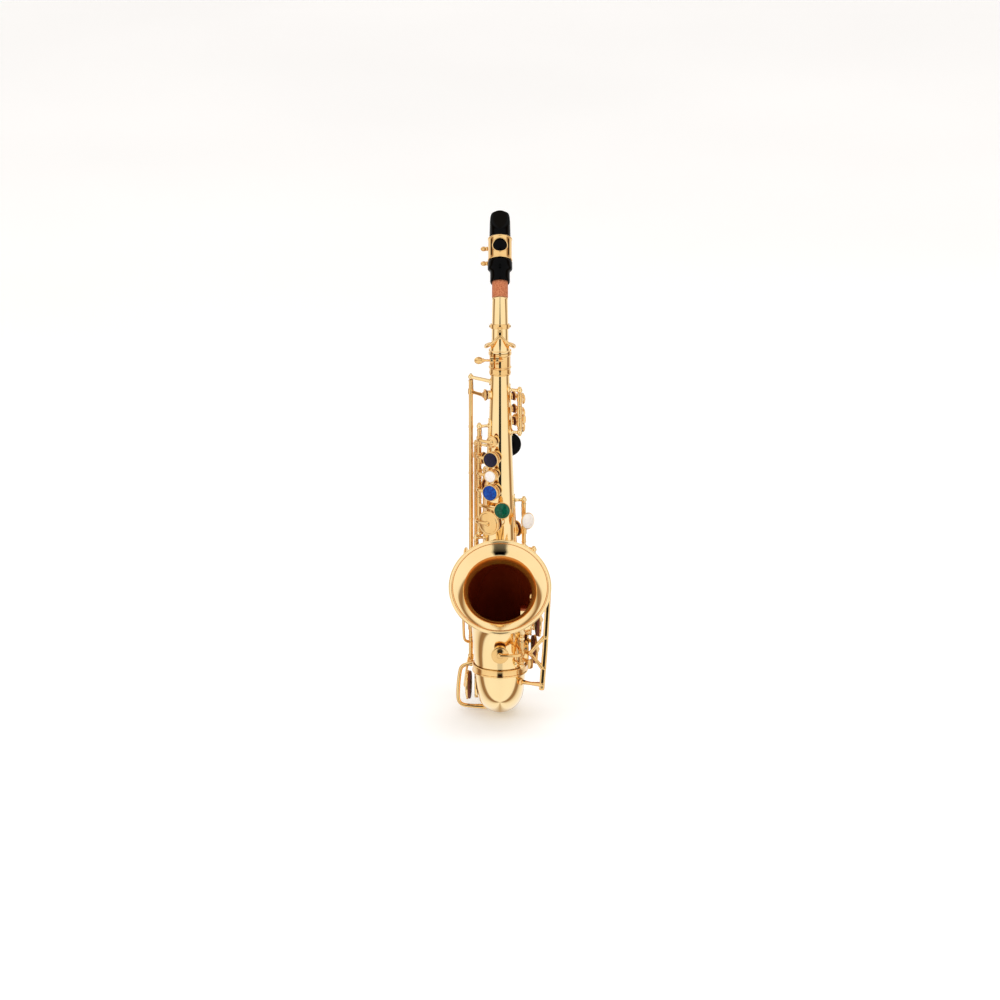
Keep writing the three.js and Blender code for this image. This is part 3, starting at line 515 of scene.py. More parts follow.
# Where each hinge rod stands, as x and y.
LEFT_STACK, RIGHT_STACK, PALM = (-19, -5), (-22, -6), (18, -5)
SIDE_E, SIDE_C, SIDE_B_FLAT = (-26.7, 10), (-22, 16), (-14, 21.5)
LOW_C, LOW_B, LOW_B_FLAT, LOW_C_SHARP = (-27, 4), (24.5, -30), (31, -31), (20, -80)
G_SHARP, OCTAVE_ROD = (22, 2), (6, 15)
LOW_C_ROOT = bow_path(BOW_LENGTH / 2)[0] + Vector((0, 0, 3))
KEYS = {
    "key_c": dict(hinge=LEFT_STACK, span=(247, 262), hole=on_body(24, 253), r=5.5, lift=7, turn=1),
    "key_b": dict(hinge=LEFT_STACK, span=(230, 246.7), hole=on_body(18, 237.5), r=7, lift=7, turn=1, pearl=6.6),
    "key_bis": dict(hinge=LEFT_STACK, span=(216, 229.7), hole=on_body(18, 222), r=5.6, lift=7, turn=1, pearl=5.1),
    "key_a": dict(hinge=LEFT_STACK, span=(198, 215.7), hole=on_body(18, 206.5), r=7.5, lift=7, turn=1, pearl=6.8),
    "key_g": dict(hinge=LEFT_STACK, span=(166, 197.7), hole=on_body(27, 176.6), r=11.5, lift=6, turn=1, pad=True),
    "key_f_sharp": dict(hinge=RIGHT_STACK, span=(138, 156), hole=on_body(20, 148), r=10.4, lift=6, turn=1),
    "key_f": dict(hinge=RIGHT_STACK, span=(116, 137.7), hole=on_body(20, 126), r=11, lift=6, turn=1, pearl=6.8),
    "key_e": dict(hinge=RIGHT_STACK, span=(93, 115.7), hole=on_body(20, 103), r=11.4, lift=6, turn=1, pearl=6.8),
    "key_d": dict(hinge=RIGHT_STACK, span=(68, 92.7), hole=on_body(20, 79.5), r=11.4, lift=6, turn=1, pearl=6.8,
    pad=True),
    "key_g_sharp": dict(hinge=G_SHARP, span=(152, 190), hole=on_body(-125, 163), r=7.5, turn=-1),
    "key_e_flat": dict(hinge=LOW_C, span=(60.3, 88), hole=on_body(150, 70), r=9.5, turn=1),
    "palm_key_d": dict(hinge=PALM, span=(262, 273), hole=on_body(-115, 267), r=4.5, turn=-1),
    "palm_key_e_flat": dict(hinge=PALM, span=(273.3, 284.3), hole=on_body(-115, 279), r=4.5, turn=-1),
    "palm_key_f": dict(hinge=PALM, span=(284.6, 296), hole=on_body(-115, 291), r=4.5, turn=-1),
    "side_key_e": dict(hinge=SIDE_E, span=(128, 305), hole=on_body(80, 294), r=5.5, turn=-1),
    "side_key_c": dict(hinge=SIDE_C, span=(112, 240), hole=on_body(110, 232), r=5.8, turn=-1),
    "side_key_b_flat": dict(hinge=SIDE_B_FLAT, span=(100, 213), hole=on_body(130, 205), r=6.2, turn=-1),
    "key_low_c": dict(hinge=LOW_C, span=(38, 60), hole=(LOW_C_ROOT, Vector((-1, 0, 0)), 23.6), r=13.6, lift=5, turn=1,
    pad=True),
    "key_low_b": dict(hinge=LOW_B, span=(58, 152), hole=on_bell(18, (1, 0, 0), 26.3), r=13.5, lift=6, turn=-1,
    pad=True),
    "key_low_b_flat": dict(hinge=LOW_B_FLAT, span=(84, 152), hole=on_bell(48.6, (1, 0, 0), 29), r=15.6, lift=6, turn=-1,
    pad=True),
    "key_low_c_sharp": dict(hinge=LOW_C_SHARP, span=(62, 82), hole=on_bell(22, (0, -1, 0), 28.4), r=8, turn=1),
}


def seat_point(key, height):
    root, direction, seat = key["hole"]
    return root + direction * (seat + GAP + height)


def cup_top(key):
    return 5.7 if key.get("pad") else 3.6


def chimney(shape, key, tube):
    """A tone-hole chimney that rises from a tube of that radius and ends in a rolled rim."""
    root, direction, seat = key["hole"]
    outer = key["r"] - 1.4
    inner = outer - WALL
    low = math.sqrt(max(tube**2 - outer**2, 0)) * 0.9 - 1.5
    rim = [
        (inner, low), (inner, seat - 0.6), (inner + 0.2, seat - 0.15), (inner + 0.65, seat), (outer + 0.1, seat - 0.25),
        (outer + 0.3, seat - 0.75), (outer + 0.1, seat - 1.2), (outer - 0.15, seat - 1.4), (outer - 0.15, low),
    ]
    return shape.turned(rim, root, direction, 64, closed=True)


def post(shape, base, top, end):
    """A soldered post: a flange, a waisted stem and a ball for the upper (1) or lower (-1) end of a hinge rod."""
    stem = 1.35
    along = Vector(top) - Vector(base)
    length = along.length
    profile = [
        (0, -0.8), (3.3, -0.8), (3.3, 0.55), (2.9, 0.95), (2.0, 1.3), (stem + 0.25, 1.9), (stem, min(3, length * 0.5)),
        (stem, max(length - 3.4, length * 0.55)), (stem + 0.35, length - 2.5), (stem + 0.2, length), (0, length),
    ]
    shape.turned(profile, base, along, 28)
    shape.ball(top, BALL_R)
    for side in (-1, 1):
        shape.turned([(0, 2.1), (1.75, 2.1), (1.75, 2.66), (1.5, 2.8), (0, 2.8)], top, (0, 0, side), 24)
    shape.slotted_head(Vector(top) + Vector((0, 0, end * 2.75)), (0, 0, end), 1.25, 0.55)


def body_post(shape, hinge, z, end):
    x, y = hinge
    inner = (body_radius(z) - 0.3) / math.hypot(x, y)
    post(shape, (x * inner, y * inner, z), (x, y, z), end)


def rib(shape, angle, low, high, half_width, thick=0.7):
    """A strap soldered along the body tube under a row of posts."""
    rings = []
    for z in [low - 1.5, low - 1.2, *spread(low, high, 12), high + 1.2, high + 1.5]:
        end = 0.35 if z in (low - 1.5, high + 1.5) else 0.8 if z in (low - 1.2, high + 1.2) else 1
        r = body_radius(z)
        ring = []
        for t in spread(-1, 1, 8):
            ring.append((t * half_width * end, r + thick))
        for t in spread(1, -1, 8):
            ring.append((t * (half_width * end + 0.3), r - 0.5))
        placed = []
        for a, radius in ring:
            spot = around(angle + math.degrees(a / r)) * radius
            placed.append((spot.x, spot.y, z))
        rings.append(placed)
    shape.skin(rings)


# ---------------------------------------------------------------- body tube
body = Shape()
LOW_Z = BOW_JOINT_Z + GAP / 2
outer = [(body_radius(z), z) for z in spread(LOW_Z, BODY_TOP_Z, 40)]
inner = [(body_radius(z) - WALL, z) for z in spread(BODY_TOP_Z, LOW_Z, 40)]
body.turned(outer + inner, sides=96, closed=True)
BODY_KEYS = [name for name in KEYS if not name.startswith("key_low")]
for name in BODY_KEYS:
    chimney(body, KEYS[name], body_radius(KEYS[name]["hole"][0].z))
# Each post holds the upper (1) or lower (-1) end of a rod, which is at that z.
POSTS = [
    (LEFT_STACK, 262, 1), (LEFT_STACK, 166, -1), (RIGHT_STACK, 156, 1), (RIGHT_STACK, 68, -1), (G_SHARP, 190, 1),
    (G_SHARP, 152, -1),
    (LOW_C, 88, 1), (PALM, 296, 1), (PALM, 262, -1), (SIDE_E, 128, -1), (SIDE_C, 240, 1), (SIDE_C, 112, -1),
    (SIDE_B_FLAT, 213, 1),
    (SIDE_B_FLAT, 100, -1), (OCTAVE_ROD, 304, 1), (OCTAVE_ROD, 262, -1), (LOW_B, 152, 1), (LOW_B_FLAT, 152, 1),
]
for hinge, z, end in POSTS:
    body_post(body, hinge, z + end * POST_STEP, end)
# The side E key's top post is a long tapered arm.
TOP_ARM = Vector((*SIDE_E, 305 + POST_STEP))
root = TOP_ARM.xy.normalized() * (body_radius(305) - 0.2)
body.sweep([(root.x, root.y, 305), (root.x * 1.25, root.y * 1.25, 305.6), (TOP_ARM.x * 0.88, TOP_ARM.y * 0.88, 307.3),
    TOP_ARM],
           [3.0, 2.1, 1.9, 2.3], flat=0.8, sides=20)
body.turned([(0, -0.8), (3.9, -0.8), (3.9, 0.5), (3.2, 1.0), (0, 1.2)], (root.x, root.y, 305), (root.x, root.y, 0),
    soft=0.3)
body.ball(TOP_ARM, BALL_R)
body.slotted_head(TOP_ARM + Vector((0, 0, 2.4)), (0, 0, 1), 1.25, 0.55)
for angle, low, high, width in [
    (75.3, 158, 270, 3.4), (74.7, 61, 163, 3.4), (-95, 145, 197, 3.2), (-105.5, 256, 302, 3.2), (126, 106, 248, 3.0),
    (146.9, 94, 219, 3.0), (110.5, 121, 129, 3.0), (201.8, 256, 311, 3.0),
]:
    rib(body, angle, low, high, width)
body.turned([(14.2, 0), (19.3, 0), (19.6, 0.7), (19.1, 1.4), (19.0, 1.4), (17.2, 1.4)], (0, 0, 55.2), sides=96)
fine("body_tube", body, finish=LACQUER)

springs = Shape()
for hinge, z, end in [
    (LEFT_STACK, 262, 1), (LEFT_STACK, 166, -1), (RIGHT_STACK, 156, 1), (RIGHT_STACK, 68, -1), (G_SHARP, 190, 1),
    (PALM, 296, 1),
    (SIDE_E, 305, 1), (SIDE_C, 240, 1), (SIDE_B_FLAT, 213, 1), (LOW_B, 152, 1), (LOW_B_FLAT, 152, 1),
    (OCTAVE_ROD, 304, 1),
]:
    x, y = hinge
    side = Vector((-x, -y, 0)).normalized().cross(Vector((0, 0, 1)))
    inward = Vector((-x, -y, 0)).normalized() * 2.9
    start = Vector((x, y, z + end * POST_STEP)) + side * 0.6 + inward * 0.55
    springs.sweep([start, start + Vector((0, 0, -end * 8)) + inward * 0.3,
        start + Vector((0, 0, -end * 17)) + inward * 0.1],
                  [0.28, 0.24, 0.18], sides=8)
piece("needle_springs", springs, "body", [STEEL])

# ---------------------------------------------------------------- bow, bell and rings
bow = Shape()
steps = spread(GAP / 2, BOW_LENGTH - GAP / 2, 50)
bow.bent(bow_path, [(s, bow_radius(s) - 0.02) for s in steps] + [(s, bow_radius(s) - WALL) for s in reversed(steps)],
    96, closed=True)
chimney(bow, KEYS["key_low_c"], bow_radius(BOW_LENGTH / 2))
post(bow, (-18.5, 0, 40), (*LOW_C, 38 - POST_STEP), -1)
fine("bow", bow, finish=LACQUER)

# The flared lip is bright; further in, the lining is painted with shade, amber and then a deep brown, for the throat's
# dark reflections.
LIP_FROM, PAINTED_AMBER_SHADE_FROM = 95, 88
bell = Shape()
steps = spread(0.15, 60, 24) + spread(61.5, BELL_LENGTH - 0.03, 44)
bell.bent(bell_path, [(s, bell_radius(s)) for s in steps], 128)
bell.faces, bell.marks = bell.faces[:-2], bell.marks[:-2]
lining = Shape()
bore = [spot for spot in map(bell_bore, steps) if spot[0] < BELL_LENGTH - 0.2]
lining.bent(bell_path, [*bore, (BELL_LENGTH - 0.2, bell_radius(BELL_LENGTH) - 2.4)], 128)
lining.faces = lining.faces[:-2]
lining.marks = [0 if steps[i // 128] > LIP_FROM else 1 if steps[i // 128] > PAINTED_AMBER_SHADE_FROM else 2
    for i in range(len(lining.faces))]
end, facing = bell_path(BELL_LENGTH - 1.2)
bell.hoop(bell_radius(BELL_LENGTH) - 1.65, 1.6, end, facing, 160)
# A thin dark hoop just inside the rolled rim: a painted shade line, in the painted amber shade.
painted_lip_shade = Shape()
painted_lip_shade.hoop(bell_radius(BELL_LENGTH) - 3.7, 0.35, bell_path(BELL_LENGTH - 0.5)[0], facing, 160)
for name, tube in (("key_low_b", 24.3), ("key_low_b_flat", 26.6), ("key_low_c_sharp", 24.6)):
    chimney(bell, KEYS[name], tube)
post(bell, (15.9, -40.2, 57), (*LOW_B, 58 - POST_STEP), -1)
post(bell, (19.4, -42, 80), (*LOW_B_FLAT, 84 - POST_STEP), -1)
post(bell, (15.4, -74.6, 59.1), (*LOW_C_SHARP, 62 - POST_STEP), -1)
post(bell, (16.8, -76, 84.9), (*LOW_C_SHARP, 82 + POST_STEP), 1)
fine("bell", bell, finish=LACQUER)
piece("bell_lining", lining, "body", [LACQUER, LACQUER_PAINTED_AMBER_SHADE, LACQUER_PAINTED_DEEP_SHADE])
piece("bell_lip_painted_shade_line", painted_lip_shade, "body", [LACQUER_PAINTED_AMBER_SHADE])


def ferrule(name, radius, y):
    ring = Shape()
    inside, outside = radius + 0.9, radius + 2.4
    profile = [
        (inside, -3.6), (outside - 0.5, -3.6), (outside - 0.1, -3.3), (outside, -2.7), (outside - 0.1, -2.1),
        (outside - 0.7, -1.8), (outside - 0.75, 0), (outside - 0.7, 1.8), (outside - 0.1, 2.1), (outside, 2.7),
        (outside - 0.1, 3.3), (outside - 0.5, 3.6), (inside, 3.6),
    ]
    ring.turned(profile, (0, y, BOW_JOINT_Z + 1.5), sides=96, closed=True)
    fine(name, ring)


ferrule("body_to_bow_ring", BOW_R_IN, 0)
ferrule("bow_to_bell_ring", BOW_R_OUT + 0.2, BELL_Y)

# ---------------------------------------------------------------- neck receiver and screw
SCREW_Y, SCREW_Z, LUG_X = -11.8, 329, -5
receiver = Shape()
low, top = BODY_TOP_Z + GAP, RECEIVER_TOP_Z
receiver.turned([
    (8.5, low), (9.7, low), (9.75, low + 1.2), (10.1, low + 1.6), (10.1, low + 2.4), (9.7, low + 2.9), (9.7, low + 6),
    (10.2, low + 6.3), (10.5, low + 7), (10.2, low + 7.7), (9.7, low + 8), (9.7, top - 3.2), (10.1, top - 2.8),
    (10.5, top - 2.1), (10.6, top - 1), (10.45, top - 0.3), (10.1, top), (8.5, top),
], sides=96, closed=True)
receiver_obj = fine("neck_receiver", receiver)
lugs = Shape()
for side in (-1, 1):
    x = LUG_X + side * 2.5
    lugs.skin([
        [(x + a, y, z) for y, z in ((-9.2, 325.4), (-12.6, 325.4), (-14, 327), (-14.2, 329), (-14, 331), (-12.6, 332.6),
        (-9.2, 332.6))]
        for a in (-1.55, -1.4, 1.4, 1.55)
    ])
    lugs.rod((x - 1.6, SCREW_Y, SCREW_Z), (x + 1.6, SCREW_Y, SCREW_Z), 2.7, 32, 0.25)
piece("neck_receiver_lugs", lugs, "body", [LACQUER_KEYS_PAINTED_SHADE])
slit = Shape()
z = top - 13.5
slit.skin([[(LUG_X - 0.9, y, z), (LUG_X + 0.9, y, z), (LUG_X + 0.9, y, z + 14), (LUG_X - 0.9, y, z + 14)]
    for y in (-16, 0)])
carve(receiver_obj, slit)


def thumb_screw(shape, start, head_at, y, z, shaft, head, lean):
    """A threaded shaft along X with a flat thumb plate, scalloped at its edge and turned by lean degrees."""
    face = Vector((0, -math.cos(math.radians(lean)), math.sin(math.radians(lean))))
    profile = [(0, 0), (shaft * 0.7, 0)]
    length = start - head_at
    turns = int(length / 0.8)
    for i in range(turns):
        profile += [(shaft, 0.3 + i * 0.8), (shaft * 0.84, 0.7 + i * 0.8)]
    profile += [(shaft, length), (0, length)]
    shape.turned(profile, (start, y, z), (-1, 0, 0), 20)
    shape.turned([(0, -1.6), (shaft * 1.35, -1.6), (shaft * 1.5, -0.8), (shaft * 1.2, 0.4), (0, 0.6)], (head_at, y, z),
        (-1, 0, 0), 24, 0.2)
    outline = []
    for a in circle(72):
        r = head * (0.97 + 0.03 * math.cos(a * 18))
        outline.append((r * math.cos(a), r * math.sin(a)))
    middle = Vector((head_at - head * 0.8, y, z))
    shape.plate(outline, 1.7, middle, face, (1, 0, 0), crown=0.5, edge=0.5)
    shape.plate(outline, 1.0, middle - face * 0.4, -face, (1, 0, 0), crown=0.3, edge=0.3)


screw = Shape()
thumb_screw(screw, 3, -16, SCREW_Y, SCREW_Z, 1.3, 4.2, 58)
fine("neck_screw", screw, "neck_screw")

# ---------------------------------------------------------------- neck, cork and neck octave key
VENT_S, PIVOT_S = 32, 38
pivot, pivot_along = neck_path(PIVOT_S)
vent, vent_along = neck_path(VENT_S)
vent_dir = Vector((0, vent_along.z, -vent_along.y))
CORK_FROM = NECK_SHANK_S - 14.5

neck = Shape()
outside = [(0, 7.4), (0.3, 8.2), (13.8, 8.2), (14.2, 8.3), (14.3, 10.0), (14.6, 10.4), (15.9, 10.45), (16.3, 10.1),
    (16.5, 9.4),
           (17.2, 9.05), (18.5, 8.72), (20.5, 8.32), (23, 7.95), (26, 7.7)]
outside += [(s, neck_radius(s)) for s in spread(29, CORK_FROM - 1.8, 20)]
outside += [(CORK_FROM - 1.6, 7.35), (CORK_FROM - 1.2, 7.45), (CORK_FROM - 0.6, 7.4), (CORK_FROM - 0.3, 7.1),
    (CORK_FROM - 0.3, 5.9)]
outside += [(s, 5.9) for s in spread(CORK_FROM, NECK_LENGTH, 8)]
inside = [(s, 6.7 - 0.022 * s) for s in spread(NECK_LENGTH, 0, 24)]
neck.bent(neck_path, outside + inside, 96, closed=True)
reach = neck_radius(VENT_S)
neck.turned([(0, reach - 2), (2.9, reach - 1), (2.6, reach + 0.3), (2, reach + 0.7), (2, reach + 1.5),
    (1.7, reach + 1.6), (0.8, reach + 1.6),
             (0.8, reach + 1), (0, reach + 1)], vent, vent_dir, 28)
for side in (-1, 1):
    neck.turned([(0, 6.6), (2.6, 6.6), (2.5, 7.8), (1.4, 8.1), (1.2, 8.3), (1.2, 9.6), (0.9, 9.9), (0, 9.9)], pivot,
        (side, 0, 0), 28)
fine("neck_tube", neck, "neck", finish=LACQUER)

cork = Shape()
stations = [(s, 7.3 if i else 7.0) for i, s in enumerate([CORK_FROM, CORK_FROM + 0.5,
    *spread(CORK_FROM + 3, NECK_LENGTH - 2.5, 8)])]
stations += [(NECK_LENGTH - 1, 7.15), (NECK_LENGTH - 0.5, 6.8)]
cork.bent(neck_path, stations + [(s, 6.2) for s in spread(NECK_LENGTH - 0.5, CORK_FROM, 6)], 64, closed=True)
fine("neck_cork", cork, "neck", CORK)

octave = Shape()
octave.turned([(8, -2.2), (8.7, -2.2), (8.9, -1.7), (8.8, 0), (8.9, 1.7), (8.7, 2.2), (8, 2.2)], pivot, pivot_along, 72,
    0.2, closed=True)
ring = []
for i in range(65):
    a = 2 * math.pi * i / 64
    front = (1 - math.hypot(math.sin(a), 0.12)) * 1.13 if math.cos(a) > 0 else 0
    front = max(front, 0)
    r = 13.4 - 2.9 * front
    ring.append((r * math.sin(a), -r * math.cos(a), 339.2 + 12.3 * front))
octave.sweep(ring, [1.3] * 65, per=1, closed=True, up=(0, 0, 1), sides=16)
octave.plate(oval(5.4, 9, 4), 1.7, (0, -10.3, 353), (0, -1, 0.05), crown=0.25)
octave.sweep([(0, -10.1, 356), (0, -9.5, 357.3), pivot + Vector((0, -8.5, 0.3))], [2.2, 2.1, 2.3], flat=0.5,
    up=(0, 1, 0))
pad_base = reach + 1.6 + GAP
octave.turned([(0, pad_base + 0.9), (3.2, pad_base + 0.9), (3.2, pad_base + 2.2), (2.5, pad_base + 2.8),
    (0, pad_base + 3)], vent, vent_dir, 32, 0.25)
octave.sweep([pivot + Vector((0, 9, -0.8)), pivot + Vector((0, 11, -1.6)), vent + vent_dir * (pad_base + 3)],
    [1.7, 1.6, 1.5], flat=0.6, up=vent_dir)
fine("neck_octave_key", octave, "neck_octave_key")
vent_pad = Shape()
vent_pad.turned([(0, pad_base), (2.5, pad_base), (2.9, pad_base + 0.3), (2.9, pad_base + 1), (0, pad_base + 1)], vent,
    vent_dir, 32)
piece("neck_octave_pad", vent_pad, "neck_octave_key", [CORK])

# ---------------------------------------------------------------- mouthpiece, reed and ligature
shank, mouth_axis = neck_path(NECK_SHANK_S)
mouth = Matrix.Translation(shank) @ Matrix.Rotation(-NECK_TILT, 4, "X")
TABLE_Y = 5.8
MOUTH_SIDES = 72


def mouth_profile(z):
    knots = [
        (0, 8.6), (1.2, 9.1), (9, 9.05), (11, 9.25), (11.7, 9.6), (12.6, 10.5), (13.3, 11.15), (14, 11.3), (19.7, 11.3),
        (20.3, 11.1),
        (20.9, 10.1), (21.3, 9.7), (47, 9.7), (60, 9.4), (65, 8.9), (69, 8.2), (73.5, 6.8),
    ]
    for (a, ra), (b, rb) in zip(knots, knots[1:]):
        if z <= b:
            return ra + (rb - ra) * (z - a) / (b - a)
    return knots[-1][1]


def mouth_ring(z):
    """Section of the mouthpiece: round, flat on the reed side, sloped away above towards the tip."""
    radius = mouth_profile(z)
    half = radius
    if z > 69:
        half = radius * math.sqrt(max(1 - ((z - 69) / 4.55) ** 2, 0.0))
    table = TABLE_Y if z > 23 else 99
    beak = max(-11 + (z - 47) * 14.8 / 27, -radius) if z > 46 else -99
    low, high = max(beak, -radius), min(table, radius)
    middle = (low + high) / 2 if z > 46 else 0
    kx = max(half, 0.4) / radius
    sharpness = 14
    ring = []
    for a in circle(MOUTH_SIDES):
        c, s = math.cos(a), math.sin(a)
        # How far it is to the round side, a circle squeezed in x near the tip, and to the flat ones.
        aa = (c / kx) ** 2 + s * s
        bb = middle * s
        limits = [(-bb + math.sqrt(max(bb * bb - aa * (middle * middle - radius * radius), 0))) / aa]
        if s > 1e-6 and table < 90:
            limits.append((table - middle) / s)
        if s < -1e-6 and beak > -90:
            limits.append((beak - middle) / s)
        d = sum((1 / max(v, 0.05)) ** sharpness for v in limits) ** (-1 / sharpness)
        ring.append((d * c, middle + d * s, z))
    return ring


mouthpiece = Shape()
bore = [[(r * math.cos(a), r * math.sin(a), z) for a in circle(MOUTH_SIDES)]
        for r, z in ((0.05, 22), (7.9, 22), (7.9, 0.5), (8.3, 0.0))]
levels = [0, 0.3, 0.7, 1.2, 4, 9, 10, 11, 11.4, 11.7, 12.1, 12.6, 12.9, 13.3, 13.6, 14, 16, 18, 19.7, 20, 20.3, 20.6,
    20.9, 21.1, 21.3, 21.6]
levels += [22.99, 23.3, *spread(25, 69, 34), 69.8, 70.5, 71.2, 71.8, 72.3, 72.7, 73, 73.25, 73.4, 73.48]
mouthpiece.skin(bore + [mouth_ring(z) for z in levels])
mouthpiece.place(mouth)
fine("mouthpiece", mouthpiece, "mouthpiece", EBONITE, sharp=50)

reed = Shape()
rings = []
for z in [24, 24.3, *spread(25, 48, 8), *spread(49.5, 71, 14), 71.7, 72.3, 72.8]:
    vamp = max((z - 48) / 24.9, 0)
    thick = 1.5 * (1 - vamp) ** 0.8 + 0.28
    if z < 24.2:
        thick *= 0.8
    half = 5.3 + 0.35 * (z - 24) / 48
    if z > 70:
        half *= math.sqrt(max(1 - ((z - 70) / 3.4) ** 2, 0.05))
    ring = [(-half, TABLE_Y + GAP, z), (half, TABLE_Y + GAP, z)]
    for t in spread(0, 1, 12):
        a = math.pi * t
        ring.append((half * math.cos(a), TABLE_Y + GAP + thick * (0.35 + 0.65 * math.sin(a) ** 0.7), z))
    rings.append(ring)
reed.skin(rings)
reed.place(mouth)
fine("reed", reed, "mouthpiece", CANE, sharp=50)

LIG_LOW, LIG_HIGH, LIG_R, PORT_Z, PORT_R = 21.7, 43.7, 10.9, 33.5, 6.2
ligature = Shape()
rings = []
section = [
    (10.1, LIG_LOW), (10.9, LIG_LOW), (11.25, LIG_LOW + 0.4), (11.25, LIG_LOW + 1.2), (LIG_R, LIG_LOW + 1.6),
    (LIG_R, LIG_HIGH - 1.6),
    (11.25, LIG_HIGH - 1.2), (11.25, LIG_HIGH - 0.4), (10.9, LIG_HIGH), (10.1, LIG_HIGH),
]
opening = math.asin(1.3 / LIG_R)
for a in spread(math.pi / 2 + opening, math.pi * 2.5 - opening, 120):
    rings.append([(r * math.cos(a), r * math.sin(a), z) for r, z in section])
ligature.skin(rings)
ligature.place(mouth)
band = fine("ligature", ligature, "mouthpiece")
cutters = []
port = Shape()
port.rod((0, -15, PORT_Z), (0, -5, PORT_Z), PORT_R, 64, 0)
cutters.append(port.place(mouth))
for side in (-1, 1):
    window = Shape()
    x = side * 8
    window.skin([[(x - 0.55, y, LIG_LOW + 3), (x + 0.55, y, LIG_LOW + 3), (x + 0.55, y, LIG_HIGH - 3),
        (x - 0.55, y, LIG_HIGH - 3)] for y in (-14, -4)])
    cutters.append(window.place(mouth))
carve(band, *cutters)

trim = Shape()
ring = []
for i in range(49):
    a = 2 * math.pi * i / 48
    x = 6.75 * math.cos(a)
    ring.append((x, -math.sqrt(11**2 - x * x), PORT_Z + 6.75 * math.sin(a)))
trim.sweep(ring, [0.62] * 49, per=1, closed=True, up=(0, 1, 0), sides=12)
for side in (-1, 1):
    trim.skin([
        [(side * a, y, z) for y, z in ((9.8, 22.8), (14.8, 22.8), (15.9, 23.6), (16.4, 25), (15.6, 28.5), (15.6, 36),
        (16.4, 39.5),
                                       (16, 41.8), (14.8, 42.6), (9.8, 42.6))]
        for a in (1.3, 1.45, 2.5, 2.7)
    ])
    for z in (25, 39.5):
        trim.rod((side * 1.4, 13.9, z), (side * 5, 13.9, z), 2.3, 32, 0.35)
    trim.sweep([(side * 2.4, 11.3, 32.7), (side * 4.6, 10.2, 32.7), (side * 5.6, 9.7, 32.7)], [5.2, 5.0, 4.6],
        flat=0.12, up=(0.3 * side, 1, 0), per=4)
trim.place(mouth)
piece("ligature_trim", trim, "mouthpiece", [LACQUER_KEYS_PAINTED_SHADE])
badge = Shape()
badge.turned([(0, 7.4), (6.1, 7.4), (6.1, 9.7), (5.6, 10.2), (3.5, 10.75), (0, 10.9)], (0, 0, PORT_Z), (0, -1, 0), 64,
    0.2)
badge.place(mouth)
piece("ligature_badge", badge, "mouthpiece", [EBONITE])
for place, z in (("lower", 25), ("upper", 39.5)):
    screw = Shape()
    thumb_screw(screw, 6, -12.6, 13.9, z, 1.4, 2.9, 30)
    screw.place(mouth)
    fine(f"ligature_screw_{place}", screw, f"ligature_screw_{place}")

# ---------------------------------------------------------------- key pieces
def barrel(shape, key, arm_z):
    """A hinge tube with collars at its ends and a saddle under its arm. Gives the arm's height, kept on the barrel."""
    (x, y), (low, high) = key["hinge"], key["span"]
    r = BARREL_R
    profile = [(0.9, low), (r, low), (r, low + 0.25), (r + 0.1, low + 0.4), (r + 0.1, low + 1.3), (r - 0.12, low + 1.5)]
    if high - low > 60:
        for z in spread(low, high, round((high - low) / 45))[1:-1]:
            profile += [(r - 0.12, z - 1.2), (r + 0.15, z - 1.0), (r + 0.15, z + 1.0), (r - 0.12, z + 1.2)]
    profile += [(r - 0.12, high - 1.5), (r + 0.1, high - 1.3), (r + 0.1, high - 0.4), (r, high - 0.25), (r, high),
        (0.9, high)]
    shape.turned(profile, (x, y, 0), sides=32, closed=True)
    half = 2.6
    arm_z = min(max(arm_z, low + half + 0.3), high - half - 0.3)
    shape.turned([(1.8, -half), (2.45, -half), (2.65, -half + 0.4), (2.65, half - 0.4), (2.45, half), (1.8, half)],
        (x, y, arm_z), sides=32, soft=0.15)
    return arm_z


def cup(shape, key):
    direction = key["hole"][1]
    r, base, high = key["r"], 2.0 if key.get("pad") else 1.2, cup_top(key)
    rise = high - base
    profile = [
        (0, base), (r - 0.4, base), (r, base + 0.2), (r, base + rise * 0.4), (r - 0.18, base + rise * 0.5),
        (r - 0.75, base + rise * 0.54),
        (r * 0.85, base + rise * 0.56), (r * 0.81, base + rise * 0.66), (r * 0.6, base + rise * 0.79),
        (r * 0.4, base + rise * 0.9),
        (r * 0.2, high - 0.06), (0, high),
    ]
    shape.turned(profile, seat_point(key, 0), direction, 56, 0.2)


def pad(key):
    shape = Shape()
    direction = key["hole"][1]
    r, high = key["r"], 2.15 if key.get("pad") else 1.35
    profile = [(0, 0.05), (r - 2.4, 0), (r - 1.2, 0.1), (r - 0.7, 0.4), (r - 0.55, high * 0.5), (r - 0.65, high * 0.85),
        (r - 0.9, high), (0, high)]
    shape.turned(profile, seat_point(key, 0), direction, 56)
    if r > 7.4:
        shape.turned([(0, -0.8), (r * 0.18, -0.7), (r * 0.34, -0.35), (r * 0.36, 0.1), (0, 0.2)], seat_point(key, 0),
            direction, 32, mark=1)
    return shape


def arm(shape, key, z):
    """The arm climbs from the barrel and runs over the cup to its middle."""
    direction = key["hole"][1]
    start = Vector((*key["hinge"], z))
    target = seat_point(key, cup_top(key) - 0.3)
    climb = max((target - start).dot(direction), 0)
    foot = start + direction * min(climb, 1.0)
    knee = start + direction * climb * 0.82 + (target - start - direction * climb) * 0.1
    over = target + (start + direction * climb - target) * 0.45 + direction * 0.45
    shape.sweep([foot, knee, over, target + direction * 0.35], [1.9, 1.75, 1.55, 1.9], flat=0.72, up=direction,
        sides=18)
    if not key.get("pearl"):
        shape.turned([(0, 0), (2.7, 0), (2.6, 0.5), (1.9, 1.0), (0.8, 1.15), (0, 1.15)],
            seat_point(key, cup_top(key) - 0.15), direction, 28, 0.15)


